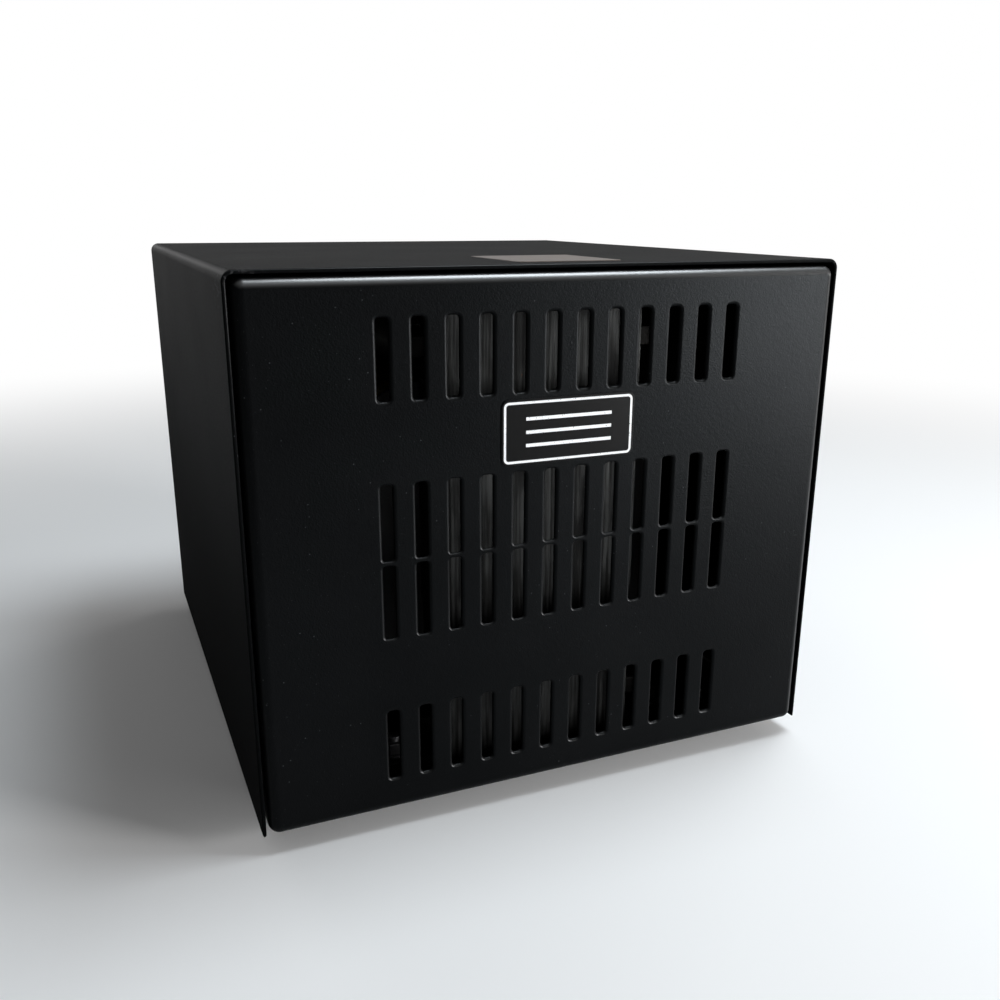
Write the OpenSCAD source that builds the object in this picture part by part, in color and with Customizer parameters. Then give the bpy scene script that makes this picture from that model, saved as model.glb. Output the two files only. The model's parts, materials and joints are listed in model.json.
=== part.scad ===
// Bench isolation transformer in a folded sheet steel case.
// The front faces -Y, +X is to the right of someone facing it, and the feet stand on z = 0.
// Lengths are in millimetres.

/* [Case] */
// Width across the cover
case_w = 247; // [235:1:320]
// Depth of the case, front of the plate to the rear of the cover
case_d = 277; // [270:1:340]
// Height of the cover, top to the lower edge of its sides
case_h = 208.5; // [206:0.5:260]
// Thickness of the folded sheet
sheet = 1.5; // [1:0.1:2]
// Gap between the cover and the chassis it slips over
cover_gap = 1; // [0.5:0.1:2]
// How far the front edge of the cover sits behind the face of the front panel
cover_setback = 2; // [0.5:0.1:2.5]
// How far the lower edge of the cover's sides is above the underside of the base
cover_lift = 0; // [0:0.1:3]
// Outside radius of the cover's bends
cover_bend_r = 4; // [2.5:0.1:5]
// Outside radius of the chassis bends
chassis_bend_r = 4.4; // [2.5:0.1:5]
// Depth of the flanges bent back from the front and rear panels
flange_w = 14; // [10:1:20]
// Height of the flanges bent up from the base
base_flange_h = 12; // [8:1:20]
// Width of the cover's return behind the rear panel
return_w = 12; // [10:1:16]
// Gap between the return and the rear panel
return_gap = 0.3; // [0.2:0.1:0.6]

/* [Ventilation slots] */
// Slots in one row
slot_count = 12; // [6:1:14]
// Distance from slot to slot
slot_pitch = 13; // [10:0.5:14]
// Width of a slot
slot_w = 5; // [3:0.5:7]
// Length of a slot
slot_l = 29.3; // [20:0.5:32]
// Corner radius of a slot
slot_corner_r = 1.25; // [0.5:0.05:1.4]
// Strip left between the two middle rows
slot_web = 1.4; // [0.8:0.1:3]
// Distance of the highest slots below the top of the cover
row_margin_top = 16.5; // [14:0.5:20]
// Distance of the rear row below the height of the highest row
rear_row_drop = 8; // [6:0.5:12]
// Distance of the lowest slots above the lower edge of the cover
row_margin_low = 14; // [13:0.5:18]

/* [Feet] */
// Height of a rubber foot
foot_h = 8; // [7:0.5:14]
// Diameter of a foot where it meets the base
foot_d = 24; // [18:1:30]
// Diameter of a foot where it meets the ground
foot_tip_d = 20; // [14:1:26]
// Distance of a foot's axis from the sides of the case
foot_inset = 34; // [28:1:40]
// Depth of the pocket that hides the foot's screw
foot_pocket = 4.5; // [4:0.1:6]

/* [Plate and label] */
// Width of the blank plate on the front
plate_w = 56; // [30:1:70]
// Gap between the plate and the slots above and below it
plate_margin = 2.25; // [1.5:0.25:6]
// Thickness of the blank plate
plate_t = 0.5; // [0.3:0.1:2]
// Corner radius of the blank plate
plate_corner_r = 3; // [1:0.5:6]
// Sideways place of the plate from the middle of the case
plate_x = 0.5; // [-30:0.5:30]
// Width of the blank label on the top
label_w = 44; // [30:1:80]
// Length of the blank label, front to back
label_l = 48; // [30:1:80]
// Thickness of the label
label_t = 0.3; // [0.2:0.1:0.5]
// Sideways place of the label from the middle of the case
label_x = 7.5; // [-30:0.5:30]
// Distance of the label behind the front edge of the cover
label_y = 16; // [10:1:60]

/* [Core] */
// Room between the core and the top of the chassis
core_top_gap = 12.5; // [8:0.5:20]
// Room between the core and the rear panel
core_back_gap = 93.7; // [93:0.1:98]
// Room between the stack of laminations and the outside of the case
core_side_gap = 81.5; // [80:0.5:84]
// Distance of the core behind the front edge of the cover
core_y = 20; // [16:0.5:26]
// Diameter of the holes through the laminations
core_hole_d = 10.6; // [10:0.1:12]
// Diameter of the bolts through the core
core_bolt_d = 8; // [6:0.5:8]

/* [Coil] */
// Wall of the coil former
former_t = 2; // [1.5:0.1:3]
// Clearance between the former and the core
former_gap = 0.5; // [0.3:0.1:1]
// Room between the former's end flanges and the outer legs
flange_room = 1.5; // [1:0.5:3]
// Room between the wrapped coil and the outer legs
coil_room = 4.9; // [3:0.1:7]
// Thickness of one insulating layer
insulation_t = 1; // [0.5:0.1:1.5]
// Thickness of the copper screen between the windings
shield_t = 0.5; // [0.3:0.1:0.8]
// Thickness of the outer tape wrap
wrap_t = 0.8; // [0.4:0.1:1]

/* [Core mounting] */
// Thickness of the clamping angles and bars
angle_t = 3; // [2:0.5:4]
// Room between the clamping angles and the inside of the legs they clamp
angle_room = 2; // [1:0.5:3]
// Reach of the angle's foot from the side of the core
angle_foot = 34; // [30:1:40]
// Distance from the front of the core to the front of the angle
angle_setback = 6; // [2:0.5:10]
// Distance of the mounting bolts from the side of the core
mount_bolt_x = 20; // [16:0.5:24]
// Distance of the mounting bolts from the ends of the angle
mount_bolt_y = 10; // [8:0.5:20]
// Diameter of the mounting bolts
mount_bolt_d = 6; // [5:0.5:6]

/* [Rear panel] */
// Height of the row of outlets, as a share of the cover's height
outlet_share = 0.56; // [0.55:0.005:0.58]
// Distance from outlet to outlet
outlet_pitch = 46; // [44:1:50]
// Number of outlets
outlet_count = 4; // [2:1:4]
// Height of the row of controls, as a share of the cover's height
control_share = 0.27; // [0.26:0.005:0.29]
// Sideways place of the inlet, as a share of the rear opening's width
inlet_share = 0.305; // [0.3:0.005:0.32]
// Sideways place of the power switch, as a share of the rear opening's width
switch_share = -0.02; // [-0.03:0.005:-0.01]
// Sideways place of the breaker, as a share of the rear opening's width
breaker_share = -0.22; // [-0.24:0.005:-0.2]
// Sideways place of the earth stud, as a share of the rear opening's width
stud_share = -0.41; // [-0.42:0.005:-0.38]
// Height of the earth stud above the ground
stud_z = 40; // [34:1:50]
// Diameter of the earth stud
stud_d = 6; // [5:0.5:6]
// Free length of the earth stud behind its collar
stud_out = 15; // [10:1:20]

/* [Inlet] */
// Width of the plug recess
recess_w = 28; // [26:0.5:30]
// Height of the plug recess
recess_h = 22; // [20:0.5:24]
// Depth of the plug recess
recess_d = 18; // [15:0.5:20]
// Wall round the plug recess
inlet_wall = 3; // [2:0.5:4]
// Width of the inlet's flange with its screw ears
inlet_flange_w = 62; // [58:1:66]
// Height of the inlet's flange
inlet_flange_h = 34; // [32:1:38]
// Thickness of the inlet's flange
inlet_flange_t = 3; // [2:0.5:4]
// Distance between the inlet's screws
inlet_screw_pitch = 50; // [48:0.5:52]

/* [Power switch] */
// Width of the switch frame
switch_w = 27; // [25:0.5:30]
// Height of the switch frame
switch_h = 37; // [35:0.5:40]
// Thickness of the switch frame outside the panel
switch_bezel_t = 2.5; // [2:0.1:4]
// Depth of the switch housing behind the panel
switch_d = 22; // [20:0.5:23]
// Width of the rocker
rocker_w = 17; // [14:0.5:18]
// Length of the rocker
rocker_l = 26; // [22:0.5:27]
// Angle from each end position to the middle
rocker_tilt = 10; // [6:1:12]
// Diameter of the rocker's pivots
pivot_d = 3; // [2:0.1:4]
// Clearance round the pivots
pivot_gap = 0.05; // [0.03:0.01:0.08]
// Clearance round the rocker
rocker_gap = 0.5; // [0.4:0.1:0.8]

/* [Breaker] */
// Diameter of the reset button
button_d = 7; // [5:0.5:7]
// Clearance round the reset button
button_gap = 0.06; // [0.03:0.01:0.09]
// Length of the button outside its bushing when set
button_out = 2.5; // [1:0.5:5]
// Travel of the button when the breaker trips
button_travel = 4; // [2:0.5:5]
// Diameter of the threaded bushing
bushing_d = 11; // [10:0.5:12]
// Length of the bushing outside the panel
bushing_out = 6; // [5:0.5:8]

/* [Outlets] */
// Width of an outlet's face
outlet_w = 30; // [28:1:34]
// Height of an outlet's face
outlet_h = 42; // [38:1:46]
// Thickness of an outlet's face outside the panel
outlet_t = 2.5; // [2:0.1:4]
// Depth of an outlet behind the panel
outlet_d = 24; // [22:1:28]
// Width of a blade slot
blade_slot_w = 2.4; // [2:0.1:2.6]
// Height of a blade slot
blade_slot_h = 8.4; // [8:0.1:9]
// Distance between the two blade slots
blade_pitch = 12.7; // [12:0.1:13.5]
// Diameter of the earth pin hole
earth_hole_d = 5.4; // [5:0.1:6]

/* [Terminal block] */
// Terminals in the block
terminal_count = 6; // [6:1:8]
// Distance from terminal to terminal
terminal_pitch = 14; // [12:0.5:14]
// Width of the block, front to back
terminal_w = 24; // [24:1:26]
// Height of the block's floor
terminal_floor = 10; // [8:0.5:12]
// Height of the walls between terminals
terminal_wall_h = 18; // [16:0.5:20]
// Distance of the block behind the core
terminal_behind = 20; // [20:0.5:22]
// Diameter of an insulated lead
lead_d = 3.2; // [2.4:0.1:3.6]

/* [Hidden] */

// Roundness of turned and bent surfaces
$fn = 48;
// Overrun of every cut past the surface it opens
over = 1;
// Roundness of the insulated leads
lead_fn = 16;
// Clearance between still pieces that fit into each other
fit = 0.1;

// Planes of the case
base_z = foot_h;
floor_z = base_z + sheet;
cover_z = base_z + cover_lift;
cover_top = cover_z + case_h;
chassis_top = cover_top - sheet - cover_gap;
chassis_w = case_w - 2 * (sheet + cover_gap);
panel_y = plate_t;
cover_front = panel_y + cover_setback;
rear_y = case_d - sheet - return_gap;
rear_in_y = rear_y - sheet;
chassis_d = rear_y - panel_y;
chassis_h = chassis_top - base_z;
return_open_w = case_w - 2 * return_w;
return_open_top = cover_top - return_w;

// Places on the rear panel, with the lamp midway between the switch and the inlet
outlet_z = cover_z + outlet_share * case_h;
control_z = cover_z + control_share * case_h;
inlet_x = inlet_share * return_open_w;
switch_x = switch_share * return_open_w;
breaker_x = breaker_share * return_open_w;
lamp_x = (switch_x + switch_w / 2 + inlet_x - inlet_flange_w / 2) / 2;
stud_x = stud_share * return_open_w;

// Cross recess of a screw head, as shares of the head's diameter
cross_arm_share = 0.55;
cross_bar_share = 0.16;
cross_depth_share = 0.18;

// Screws that hold the cover
cover_screw_d = 4;
cover_screw_l = 9;
cover_screw_head_d = 7;
cover_screw_head_t = 2.4;
cover_screw_edge = 8;
side_screw_shares = [0.16, 0.78];
top_screw_share = 0.28;
cover_screw_x = case_w / 2 - cover_screw_edge;
cover_screw_top_z = cover_top - cover_screw_edge;

// Feet
foot_hole_d = 4.4;
foot_screw_d = 4;
foot_screw_head_d = 8;
foot_screw_head_t = 2.6;
foot_screw_tip = 1;
foot_pocket_d = 10;
foot_nut_af = 7;
foot_nut_t = 3.2;
foot_x = case_w / 2 - foot_inset;

// Core
stack_t = case_w - 2 * core_side_gap;
lam_h = chassis_top - floor_z - core_top_gap;
lam_d = rear_in_y - core_back_gap - core_y;
// A lamination is as high as three centre legs, two of them as outer legs and windows
lam_legs = 3;
leg_w = lam_h / lam_legs;
half_leg = leg_w / 2;
window_l = lam_d - leg_w;
e_depth = half_leg + window_l;
core_z = floor_z;
core_hole_ys = [half_leg / 2, lam_d - half_leg / 2];
core_hole_zs = [half_leg / 2, lam_h - half_leg / 2];
core_head_af = 13;
core_head_t = 5.3;
core_nut_t = 6.5;
core_washer_d = 16;
core_washer_t = 1.6;
core_bolt_tip = 3;
sleeve_wall = 1;
sleeve_d = core_bolt_d + 2 * (fit + sleeve_wall);

// Coil
coil_gap = 0.05;
former_in_w = stack_t + 2 * former_gap;
former_in_h = leg_w + 2 * former_gap;
former_end_gap = 0.4;
former_l = window_l - 2 * former_end_gap;
former_corner_r = 0.5;
wound_l = former_l - 2 * former_t - 2 * fit;
coil_mid_y = core_y + half_leg + window_l / 2;
coil_mid_z = core_z + lam_h / 2;
former_flange = half_leg - former_gap - flange_room;
layer_gaps = 6;
coil_fixed_t = former_gap + former_t + 2 * insulation_t + shield_t + wrap_t + layer_gaps * coil_gap;
winding_t = (half_leg - coil_room - coil_fixed_t) / 2;
primary_in = former_t + coil_gap;
inner_layer_in = primary_in + winding_t + coil_gap;
shield_in = inner_layer_in + insulation_t + coil_gap;
outer_layer_in = shield_in + shield_t + coil_gap;
secondary_in = outer_layer_in + insulation_t + coil_gap;
wrap_in = secondary_in + winding_t + coil_gap;

// Core mounting
angle_h = half_leg - angle_room;
angle_l = lam_d - 2 * angle_setback;
angle_y = core_y + angle_setback;
mount_hole_room = 0.6;
mount_hole_d = mount_bolt_d + mount_hole_room;
mount_head_af = 10;
mount_head_t = 4;
mount_nut_t = 5;
mount_washer_d = 13;
mount_washer_t = 1.2;
mount_bolt_tip = 2;
mount_xs = [-1, 1] * (stack_t / 2 + mount_bolt_x);
mount_ys = [angle_y + mount_bolt_y, angle_y + angle_l - mount_bolt_y];

// Terminal block on the floor behind the core
block_y = core_y + lam_d + terminal_behind;
block_l = terminal_count * terminal_pitch + 2 * terminal_pitch;
block_wall = 2;
block_back_y = block_y + terminal_w;
block_mid_y = block_y + terminal_w / 2;
plate_strip_t = 1.2;
plate_strip_w = 8;
strip_z = floor_z + terminal_floor;
term_screw_d = 3.5;
term_screw_head_d = 6.5;
term_screw_head_t = 2.4;
term_screw_l = 8;
term_screw_in = 6;
block_screw_d = 4;
block_screw_head_d = 8;
block_screw_head_t = 2.6;
ear_h = 6;
lead_r = lead_d / 2;
lead_bend = 5;
lead_bend_share = 0.9;
lead_z = strip_z + plate_strip_t + fit + lead_r;
lead_step = 5;
// Distance of the first coil lead behind the core
coil_lane = 6;
// Distance from lane to lane behind the block, as a share of a lead's diameter
lane_share = 1.25;
// Leads stop in front of the screw heads that clamp them
lead_stop = 2.5;
// Heights at which the supply and earth leads cross, as shares of the switch tabs' pitch
supply_share = 1.5;
earth_share = 2.25;
// Places of the leads on the backs of the outlets and the lamp
outlet_lead_share = 0.25;
lamp_lead_share = 0.33;
lamp_tap_share = 1.5;
lamp_lane = 6;

// Rear pieces
small_screw_d = 3;
small_screw_head_d = 6;
small_screw_head_t = 2;
small_screw_l = 9;
inlet_body_w = recess_w + 2 * inlet_wall;
inlet_body_h = recess_h + 2 * inlet_wall;
inlet_depth = recess_d + inlet_wall;
inlet_corner_r = 3;
pin_w = 2;
pin_h = 8;
pin_len = 15;
pin_tab = 10;
pin_pitch = 8.5;
switch_corner_r = 2;
switch_wall_x = 2.5;
switch_wall_z = 3;
rocker_mid = 2;
rocker_skirt = 1;
rocker_keel = 4;
rocker_keel_share = 0.5;
rocker_reach = norm([rocker_l / 2, rocker_mid + rocker_l / 2 * tan(rocker_tilt)]);
cavity_w = rocker_w + 2 * rocker_gap;
cavity_h = 2 * (rocker_reach + rocker_gap);
cavity_d = rocker_mid + rocker_keel + rocker_l / 2 * sin(rocker_tilt) + 2 * rocker_gap;
tab_w = 6.3;
tab_t = 0.8;
tab_l = 8;
tab_root = 4;
tab_pitch_x = 9;
tab_pitch_z = 16;
switch_body_w = switch_w - 2 * switch_wall_x;
switch_body_h = switch_h - 2 * switch_wall_z;
switch_in_y = rear_in_y - switch_d;
// The rocker turns about a line just inside the frame's face
pivot_y = rear_y + switch_bezel_t - rocker_mid;
pivot_stub = 1.5;
pivot_end_gap = 0.1;
bushing_bore_d = button_d + 2 * button_gap;
bushing_nut_af = 15;
bushing_nut_t = 2.5;
breaker_w = 15;
breaker_h = 32;
breaker_depth = 30;
breaker_in_y = rear_in_y - breaker_depth;
collar_d = button_d + 2;
collar_t = 1.5;
collar_gap = 0.3;
// The collar moves in a chamber behind the panel
chamber_d = collar_d + 2 * collar_gap;
chamber_roof = 2;
chamber_top = rear_in_y - chamber_roof;
chamber_l = collar_t + button_travel + 2 * collar_gap;
button_foot_y = chamber_top - chamber_l + collar_gap;
button_top_y = rear_y + bushing_out + button_out;
lamp_d = 9;
lamp_bezel_d = 13;
lamp_bezel_t = 1.5;
lamp_depth = 22;
lamp_lens_d = 8;
lamp_nut_af = 13;
lamp_nut_t = 2;
contact_t = 1.2;
contact_gap = 1.7;
contact_l = 14;
face_t = 4;
outlet_wall = 2;
outlet_corner_r = 3;
outlet_body_w = outlet_w - 2 * outlet_wall;
outlet_body_h = outlet_h - 2 * outlet_wall;
pocket_w = contact_gap + 2 * contact_t + 2 * fit;
pocket_h = blade_slot_h + 2 * fit;
pocket_l = contact_l + 2 * fit;
blade_z = 4;
earth_hole_z = -8;
outlet_xs = [for (i = [0 : outlet_count - 1]) (i - (outlet_count - 1) / 2) * outlet_pitch];
stud_collar_af = 12;
stud_collar_t = 5;
stud_nut_af = 10;
stud_nut_t = 5;
stud_tip = 3;
stud_washer_d = 12.5;
stud_washer_t = 1.6;
stud_hole_room = 0.4;
stud_hole_d = stud_d + stud_hole_room;
stud_in_y = rear_in_y - stud_washer_t - stud_nut_t - stud_tip;
stud_lead_share = 0.55;

// The origin is under the middle of the whole object, from plate to stud
back_y = rear_y + stud_collar_t + stud_out;
mid_y = back_y / 2;

module placed() {
    translate([0, -mid_y, 0]) children();
}

// A piece on the right and its mirror image on the left
module both_sides() {
    children();
    mirror([1, 0, 0]) children();
}

// Flat shape: a rectangle with round corners, about its middle
module round_rect(w, h, r) {
    square([w - 2 * r, h], center = true);
    square([w, h - 2 * r], center = true);
    for (x = [-1, 1], y = [-1, 1])
        translate([x * (w / 2 - r), y * (h / 2 - r)]) circle(r);
}

// Flat shape: a hexagon by its width across flats
module hexagon(af) {
    circle(d = af / cos(30), $fn = 6);
}

// A shape extruded backwards, from the plane y, drawn as seen from the front
module depthwise(y, l) {
    translate([0, y + l, 0]) rotate([90, 0, 0]) linear_extrude(l) children();
}

// A shape extruded sideways from the plane x, drawn with y to the right and z up
module sideways(x, l) {
    translate([x, 0, 0]) rotate([90, 0, 90]) linear_extrude(l) children();
}

// A block with all its edges bent round, as a folded and welded tray has
module bent_block(w, d, h, r) {
    intersection() {
        translate([0, 0, h / 2]) depthwise(0, d) round_rect(w, h, r);
        translate([0, d / 2, 0]) linear_extrude(h) round_rect(w, d, r);
        translate([0, d / 2, h / 2]) sideways(-w / 2, w) round_rect(d, h, r);
    }
}

// A round pin along Y from the plane y backwards
module pin_y(d, y, l) {
    depthwise(y, l) circle(d = d);
}

// A pan head screw along Y whose head rests on the plane y and points backwards
module rear_screw(d, l, head_d, head_t, y) {
    pin_y(head_d, y, head_t);
    pin_y(d, y - l, l);
}

// The straight runs and round bends of one insulated lead, whose runs all lie along the axes.
// Where two corners are close together, the bends between them are tighter.
function direction(a, b) = [for (c = (b - a) / norm(b - a)) round(c)];
function free_run(points, i) =
    norm(points[i + 1] - points[i]) / (i == 0 || i == len(points) - 2 ? 1 : 2);
module lead(points) {
    last = len(points) - 1;
    bend = min(lead_bend, lead_bend_share * min([for (i = [0 : last - 1]) free_run(points, i)]));
    for (i = [0 : last - 1]) {
        u = direction(points[i], points[i + 1]);
        start = points[i] + u * (i == 0 ? 0 : bend);
        run = norm(points[i + 1] - start) - (i == last - 1 ? 0 : bend);
        translate(start) rotate([0, acos(u.z), atan2(u.y, u.x)])
            cylinder(h = run, r = lead_r, $fn = lead_fn);
    }
    for (i = [1 : last - 1]) {
        u = direction(points[i - 1], points[i]);
        v = direction(points[i], points[i + 1]);
        n = cross(u, v);
        c = points[i] + (v - u) * bend;
        multmatrix([[-v.x, u.x, n.x, c.x], [-v.y, u.y, n.y, c.y], [-v.z, u.z, n.z, c.z], [0, 0, 0, 1]])
            rotate_extrude(angle = 90, $fn = 2 * lead_fn) translate([bend, 0])
                circle(lead_r, $fn = lead_fn);
    }
}

// Middles of the slots in one row
slot_xs = [for (i = [0 : slot_count - 1]) (i - (slot_count - 1) / 2) * slot_pitch];
// Heights of the middles of the four rows
slot_field_h = case_h - row_margin_top - row_margin_low;
field_z = cover_top - row_margin_top - slot_field_h / 2;
inner_row = (slot_l + slot_web) / 2;
row_pitch = (slot_field_h - slot_l) / 2 - inner_row;
row_zs = [for (s = [1, -1], r = [inner_row + row_pitch, inner_row]) field_z + s * r];

module slot_row(z) {
    for (x = slot_xs)
        translate([x, z]) round_rect(slot_w, slot_l, slot_corner_r);
}

module cover_screw_places() {
    for (x = [-1, 1], s = side_screw_shares)
        translate([x * cover_screw_x, 0, cover_z + s * case_h]) children();
    for (x = [-1, 1])
        translate([x * top_screw_share * case_w, 0, cover_screw_top_z]) children();
}

module foot_places() {
    for (x = [-foot_x, foot_x], y = [foot_inset, case_d - foot_inset])
        translate([x, y, 0]) children();
}

module mount_places() {
    for (x = mount_xs, y = mount_ys)
        translate([x, y, 0]) children();
}

module inlet_screw_places() {
    for (x = [-1, 1] * inlet_screw_pitch / 2)
        translate([inlet_x + x, 0, control_z]) children();
}

module outlet_places() {
    for (x = outlet_xs)
        translate([x, 0, outlet_z]) children();
}

module block_screw_places() {
    for (x = [-1, 1] * (block_l - terminal_pitch) / 2)
        translate([x, block_mid_y, 0]) children();
}

module core_hole_places() {
    for (y = core_hole_ys, z = core_hole_zs)
        translate([0, core_y + y, core_z + z]) children();
}

// Front panel, base and rear panel folded from one sheet, with flanges on every free edge
module chassis() {
    color("#202124") placed() difference() {
        translate([0, panel_y, base_z]) bent_block(chassis_w, chassis_d, chassis_h, chassis_bend_r);
        translate([0, panel_y + sheet, floor_z])
            bent_block(chassis_w - 2 * sheet, chassis_d - 2 * sheet, chassis_h - 2 * sheet,
                chassis_bend_r - sheet);
        translate([-chassis_w / 2 - over, panel_y + flange_w, base_z + base_flange_h])
            cube([chassis_w + 2 * over, chassis_d - 2 * flange_w, chassis_h]);
        depthwise(panel_y - over, sheet + 2 * over)
            for (z = row_zs)
                slot_row(z);
        depthwise(rear_in_y - over, sheet + 2 * over)
            rear_openings();
        foot_places() translate([0, 0, base_z - over])
            cylinder(d = foot_screw_d + fit, h = sheet + 2 * over);
        mount_places() translate([0, 0, base_z - over])
            cylinder(d = mount_hole_d, h = sheet + 2 * over);
        block_screw_places() translate([0, 0, base_z - over])
            cylinder(d = block_screw_d + fit, h = sheet + 2 * over);
    }
}

// Everything punched in the rear panel
module rear_openings() {
    slot_row(row_zs[0] - rear_row_drop);
    for (x = [-1, 1], s = side_screw_shares)
        translate([x * cover_screw_x, cover_z + s * case_h]) circle(d = cover_screw_d + fit);
    for (x = [-1, 1])
        translate([x * top_screw_share * case_w, cover_screw_top_z]) circle(d = cover_screw_d + fit);
    translate([inlet_x, control_z]) square([inlet_body_w + fit, inlet_body_h + fit], center = true);
    for (x = [-1, 1] * inlet_screw_pitch / 2)
        translate([inlet_x + x, control_z]) circle(d = small_screw_d + fit);
    translate([switch_x, control_z])
        square([switch_body_w + fit, switch_body_h + fit], center = true);
    translate([breaker_x, control_z]) circle(d = bushing_d + fit);
    translate([lamp_x, control_z]) circle(d = lamp_d + fit);
    translate([stud_x, stud_z]) circle(d = stud_hole_d);
    for (x = outlet_xs)
        translate([x, outlet_z]) square([outlet_body_w + fit, outlet_body_h + fit], center = true);
}

// Top and two sides folded from one sheet, with a return behind the rear panel
module cover() {
    ext = 2 * cover_bend_r;
    color("#1c1d20") placed() difference() {
        translate([0, -ext, cover_z - ext])
            bent_block(case_w, case_d + ext, case_h + ext, cover_bend_r);
        translate([0, -ext, cover_z - ext])
            bent_block(case_w - 2 * sheet, case_d + ext - sheet, case_h + ext - sheet,
                cover_bend_r - sheet);
        translate([-case_w / 2 - over, -ext - over, cover_z - ext - over])
            cube([case_w + 2 * over, cover_front + ext + over, case_h + 2 * ext]);
        translate([-case_w / 2 - over, -over, cover_z - ext - over])
            cube([case_w + 2 * over, case_d + 2 * over, ext + over]);
        translate([-return_open_w / 2, case_d - sheet - over, cover_z - over])
            cube([return_open_w, sheet + 2 * over, return_open_top - cover_z + over]);
        cover_screw_places() pin_y(cover_screw_d + 2 * fit, case_d - sheet - over, sheet + 2 * over);
    }
}

module cover_screws() {
    color("#2a2b2e") placed() cover_screw_places() difference() {
        rear_screw(cover_screw_d, cover_screw_l, cover_screw_head_d, cover_screw_head_t, case_d);
        cross_recess(case_d + cover_screw_head_t, cover_screw_head_d);
    }
}

module cross_shape(head_d) {
    arm = cross_arm_share * head_d;
    bar = cross_bar_share * head_d;
    square([arm, bar], center = true);
    square([bar, arm], center = true);
}

// A cross cut into the head whose top lies in the plane y
module cross_recess(y, head_d) {
    depth = cross_depth_share * head_d;
    depthwise(y - depth, depth + over) cross_shape(head_d);
}

// The same cross for a head that faces up or down
module cross_recess_flat(head_d) {
    depth = cross_depth_share * head_d;
    translate([0, 0, -depth]) linear_extrude(depth + over) cross_shape(head_d);
}

module rubber_feet() {
    color("#17181a") placed() foot_places() difference() {
        cylinder(d1 = foot_tip_d, d2 = foot_d, h = foot_h);
        translate([0, 0, -over]) cylinder(d = foot_pocket_d, h = foot_pocket + over);
        cylinder(d = foot_hole_d, h = foot_h + over);
    }
}

module foot_screws() {
    tip_z = floor_z + foot_nut_t + foot_screw_tip;
    head_z = foot_pocket - foot_screw_head_t;
    color("#b9bcc0") placed() foot_places() {
        difference() {
            translate([0, 0, head_z]) cylinder(d = foot_screw_head_d, h = foot_screw_head_t);
            translate([0, 0, head_z]) mirror([0, 0, 1]) cross_recess_flat(foot_screw_head_d);
        }
        translate([0, 0, foot_pocket]) cylinder(d = foot_screw_d, h = tip_z - foot_pocket);
    }
}

module foot_nuts() {
    color("#b9bcc0") placed() foot_places() translate([0, 0, floor_z])
        linear_extrude(foot_nut_t) difference() {
            hexagon(foot_nut_af);
            circle(d = foot_screw_d + fit);
        }
}

// A blank raised plate midway between the first and second rows of slots
module front_plate() {
    plate_h = row_pitch - slot_l - 2 * plate_margin;
    color("#242528") placed() translate([plate_x, 0, (row_zs[0] + row_zs[1]) / 2])
        depthwise(panel_y - plate_t, plate_t) round_rect(plate_w, plate_h, plate_corner_r);
}

module top_label() {
    color("#cbbfae") placed()
        translate([label_x - label_w / 2, label_y, cover_top]) cube([label_w, label_l, label_t]);
}

// E laminations, stacked sideways, whose back stands behind the front panel
module core_e_stack() {
    color("#5b5f64") placed() difference() {
        translate([-stack_t / 2, core_y, core_z]) cube([stack_t, e_depth, lam_h]);
        for (z = [half_leg, half_leg + half_leg + leg_w])
            translate([-stack_t / 2 - over, core_y + half_leg, core_z + z])
                cube([stack_t + 2 * over, window_l + over, half_leg]);
        core_bolt_holes();
    }
}

// I laminations that close the E stack behind the coil
module core_i_stack() {
    color("#565a5f") placed() difference() {
        translate([-stack_t / 2, core_y + e_depth, core_z]) cube([stack_t, half_leg, lam_h]);
        core_bolt_holes();
    }
}

module core_bolt_holes() {
    core_hole_places() translate([-stack_t / 2 - over, 0, 0])
        rotate([0, 90, 0]) cylinder(d = core_hole_d, h = stack_t + 2 * over);
}

// A closed sleeve round the centre leg, between two distances from the inside of the former
module coil_layer(inner, t, l) {
    outer = inner + t;
    translate([0, coil_mid_y - l / 2, coil_mid_z]) depthwise(0, l) difference() {
        round_rect(former_in_w + 2 * outer, former_in_h + 2 * outer, former_corner_r + outer);
        round_rect(former_in_w + 2 * inner, former_in_h + 2 * inner, former_corner_r + inner);
    }
}

module coil_former() {
    color("#2f6f4e") placed() {
        coil_layer(0, former_t, former_l);
        for (y = [-1, 1])
            translate([0, y * (former_l - former_t) / 2, 0]) coil_layer(0, former_flange, former_t);
    }
}

module primary_winding() {
    color("#b4622c") placed() coil_layer(primary_in, winding_t, wound_l);
}

module insulation_layers() {
    color("#d9c48a") placed() {
        coil_layer(inner_layer_in, insulation_t, wound_l);
        coil_layer(outer_layer_in, insulation_t, wound_l);
    }
}

module copper_screen() {
    color("#c8713a") placed() coil_layer(shield_in, shield_t, wound_l - 2 * insulation_t);
}

module secondary_winding() {
    color("#a4531f") placed() coil_layer(secondary_in, winding_t, wound_l);
}

module outer_wrap() {
    color("#d8b634") placed() coil_layer(wrap_in, wrap_t, wound_l);
}

// The angle at the foot of each side of the core, which carries the transformer
module foot_angles() {
    color("#3a3d41") placed() both_sides() difference() {
        translate([stack_t / 2, angle_y, core_z]) union() {
            cube([angle_t, angle_l, angle_h]);
            cube([angle_foot, angle_l, angle_t]);
        }
        side_bolt_holes();
        for (y = mount_ys)
            translate([mount_xs[1], y, core_z - over]) cylinder(d = mount_hole_d, h = angle_t + 2 * over);
    }
}

// The bar along the top of each side of the core
module clamp_bars() {
    color("#3a3d41") placed() both_sides() difference() {
        translate([stack_t / 2, angle_y, core_z + lam_h - angle_h]) cube([angle_t, angle_l, angle_h]);
        side_bolt_holes();
    }
}

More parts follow.
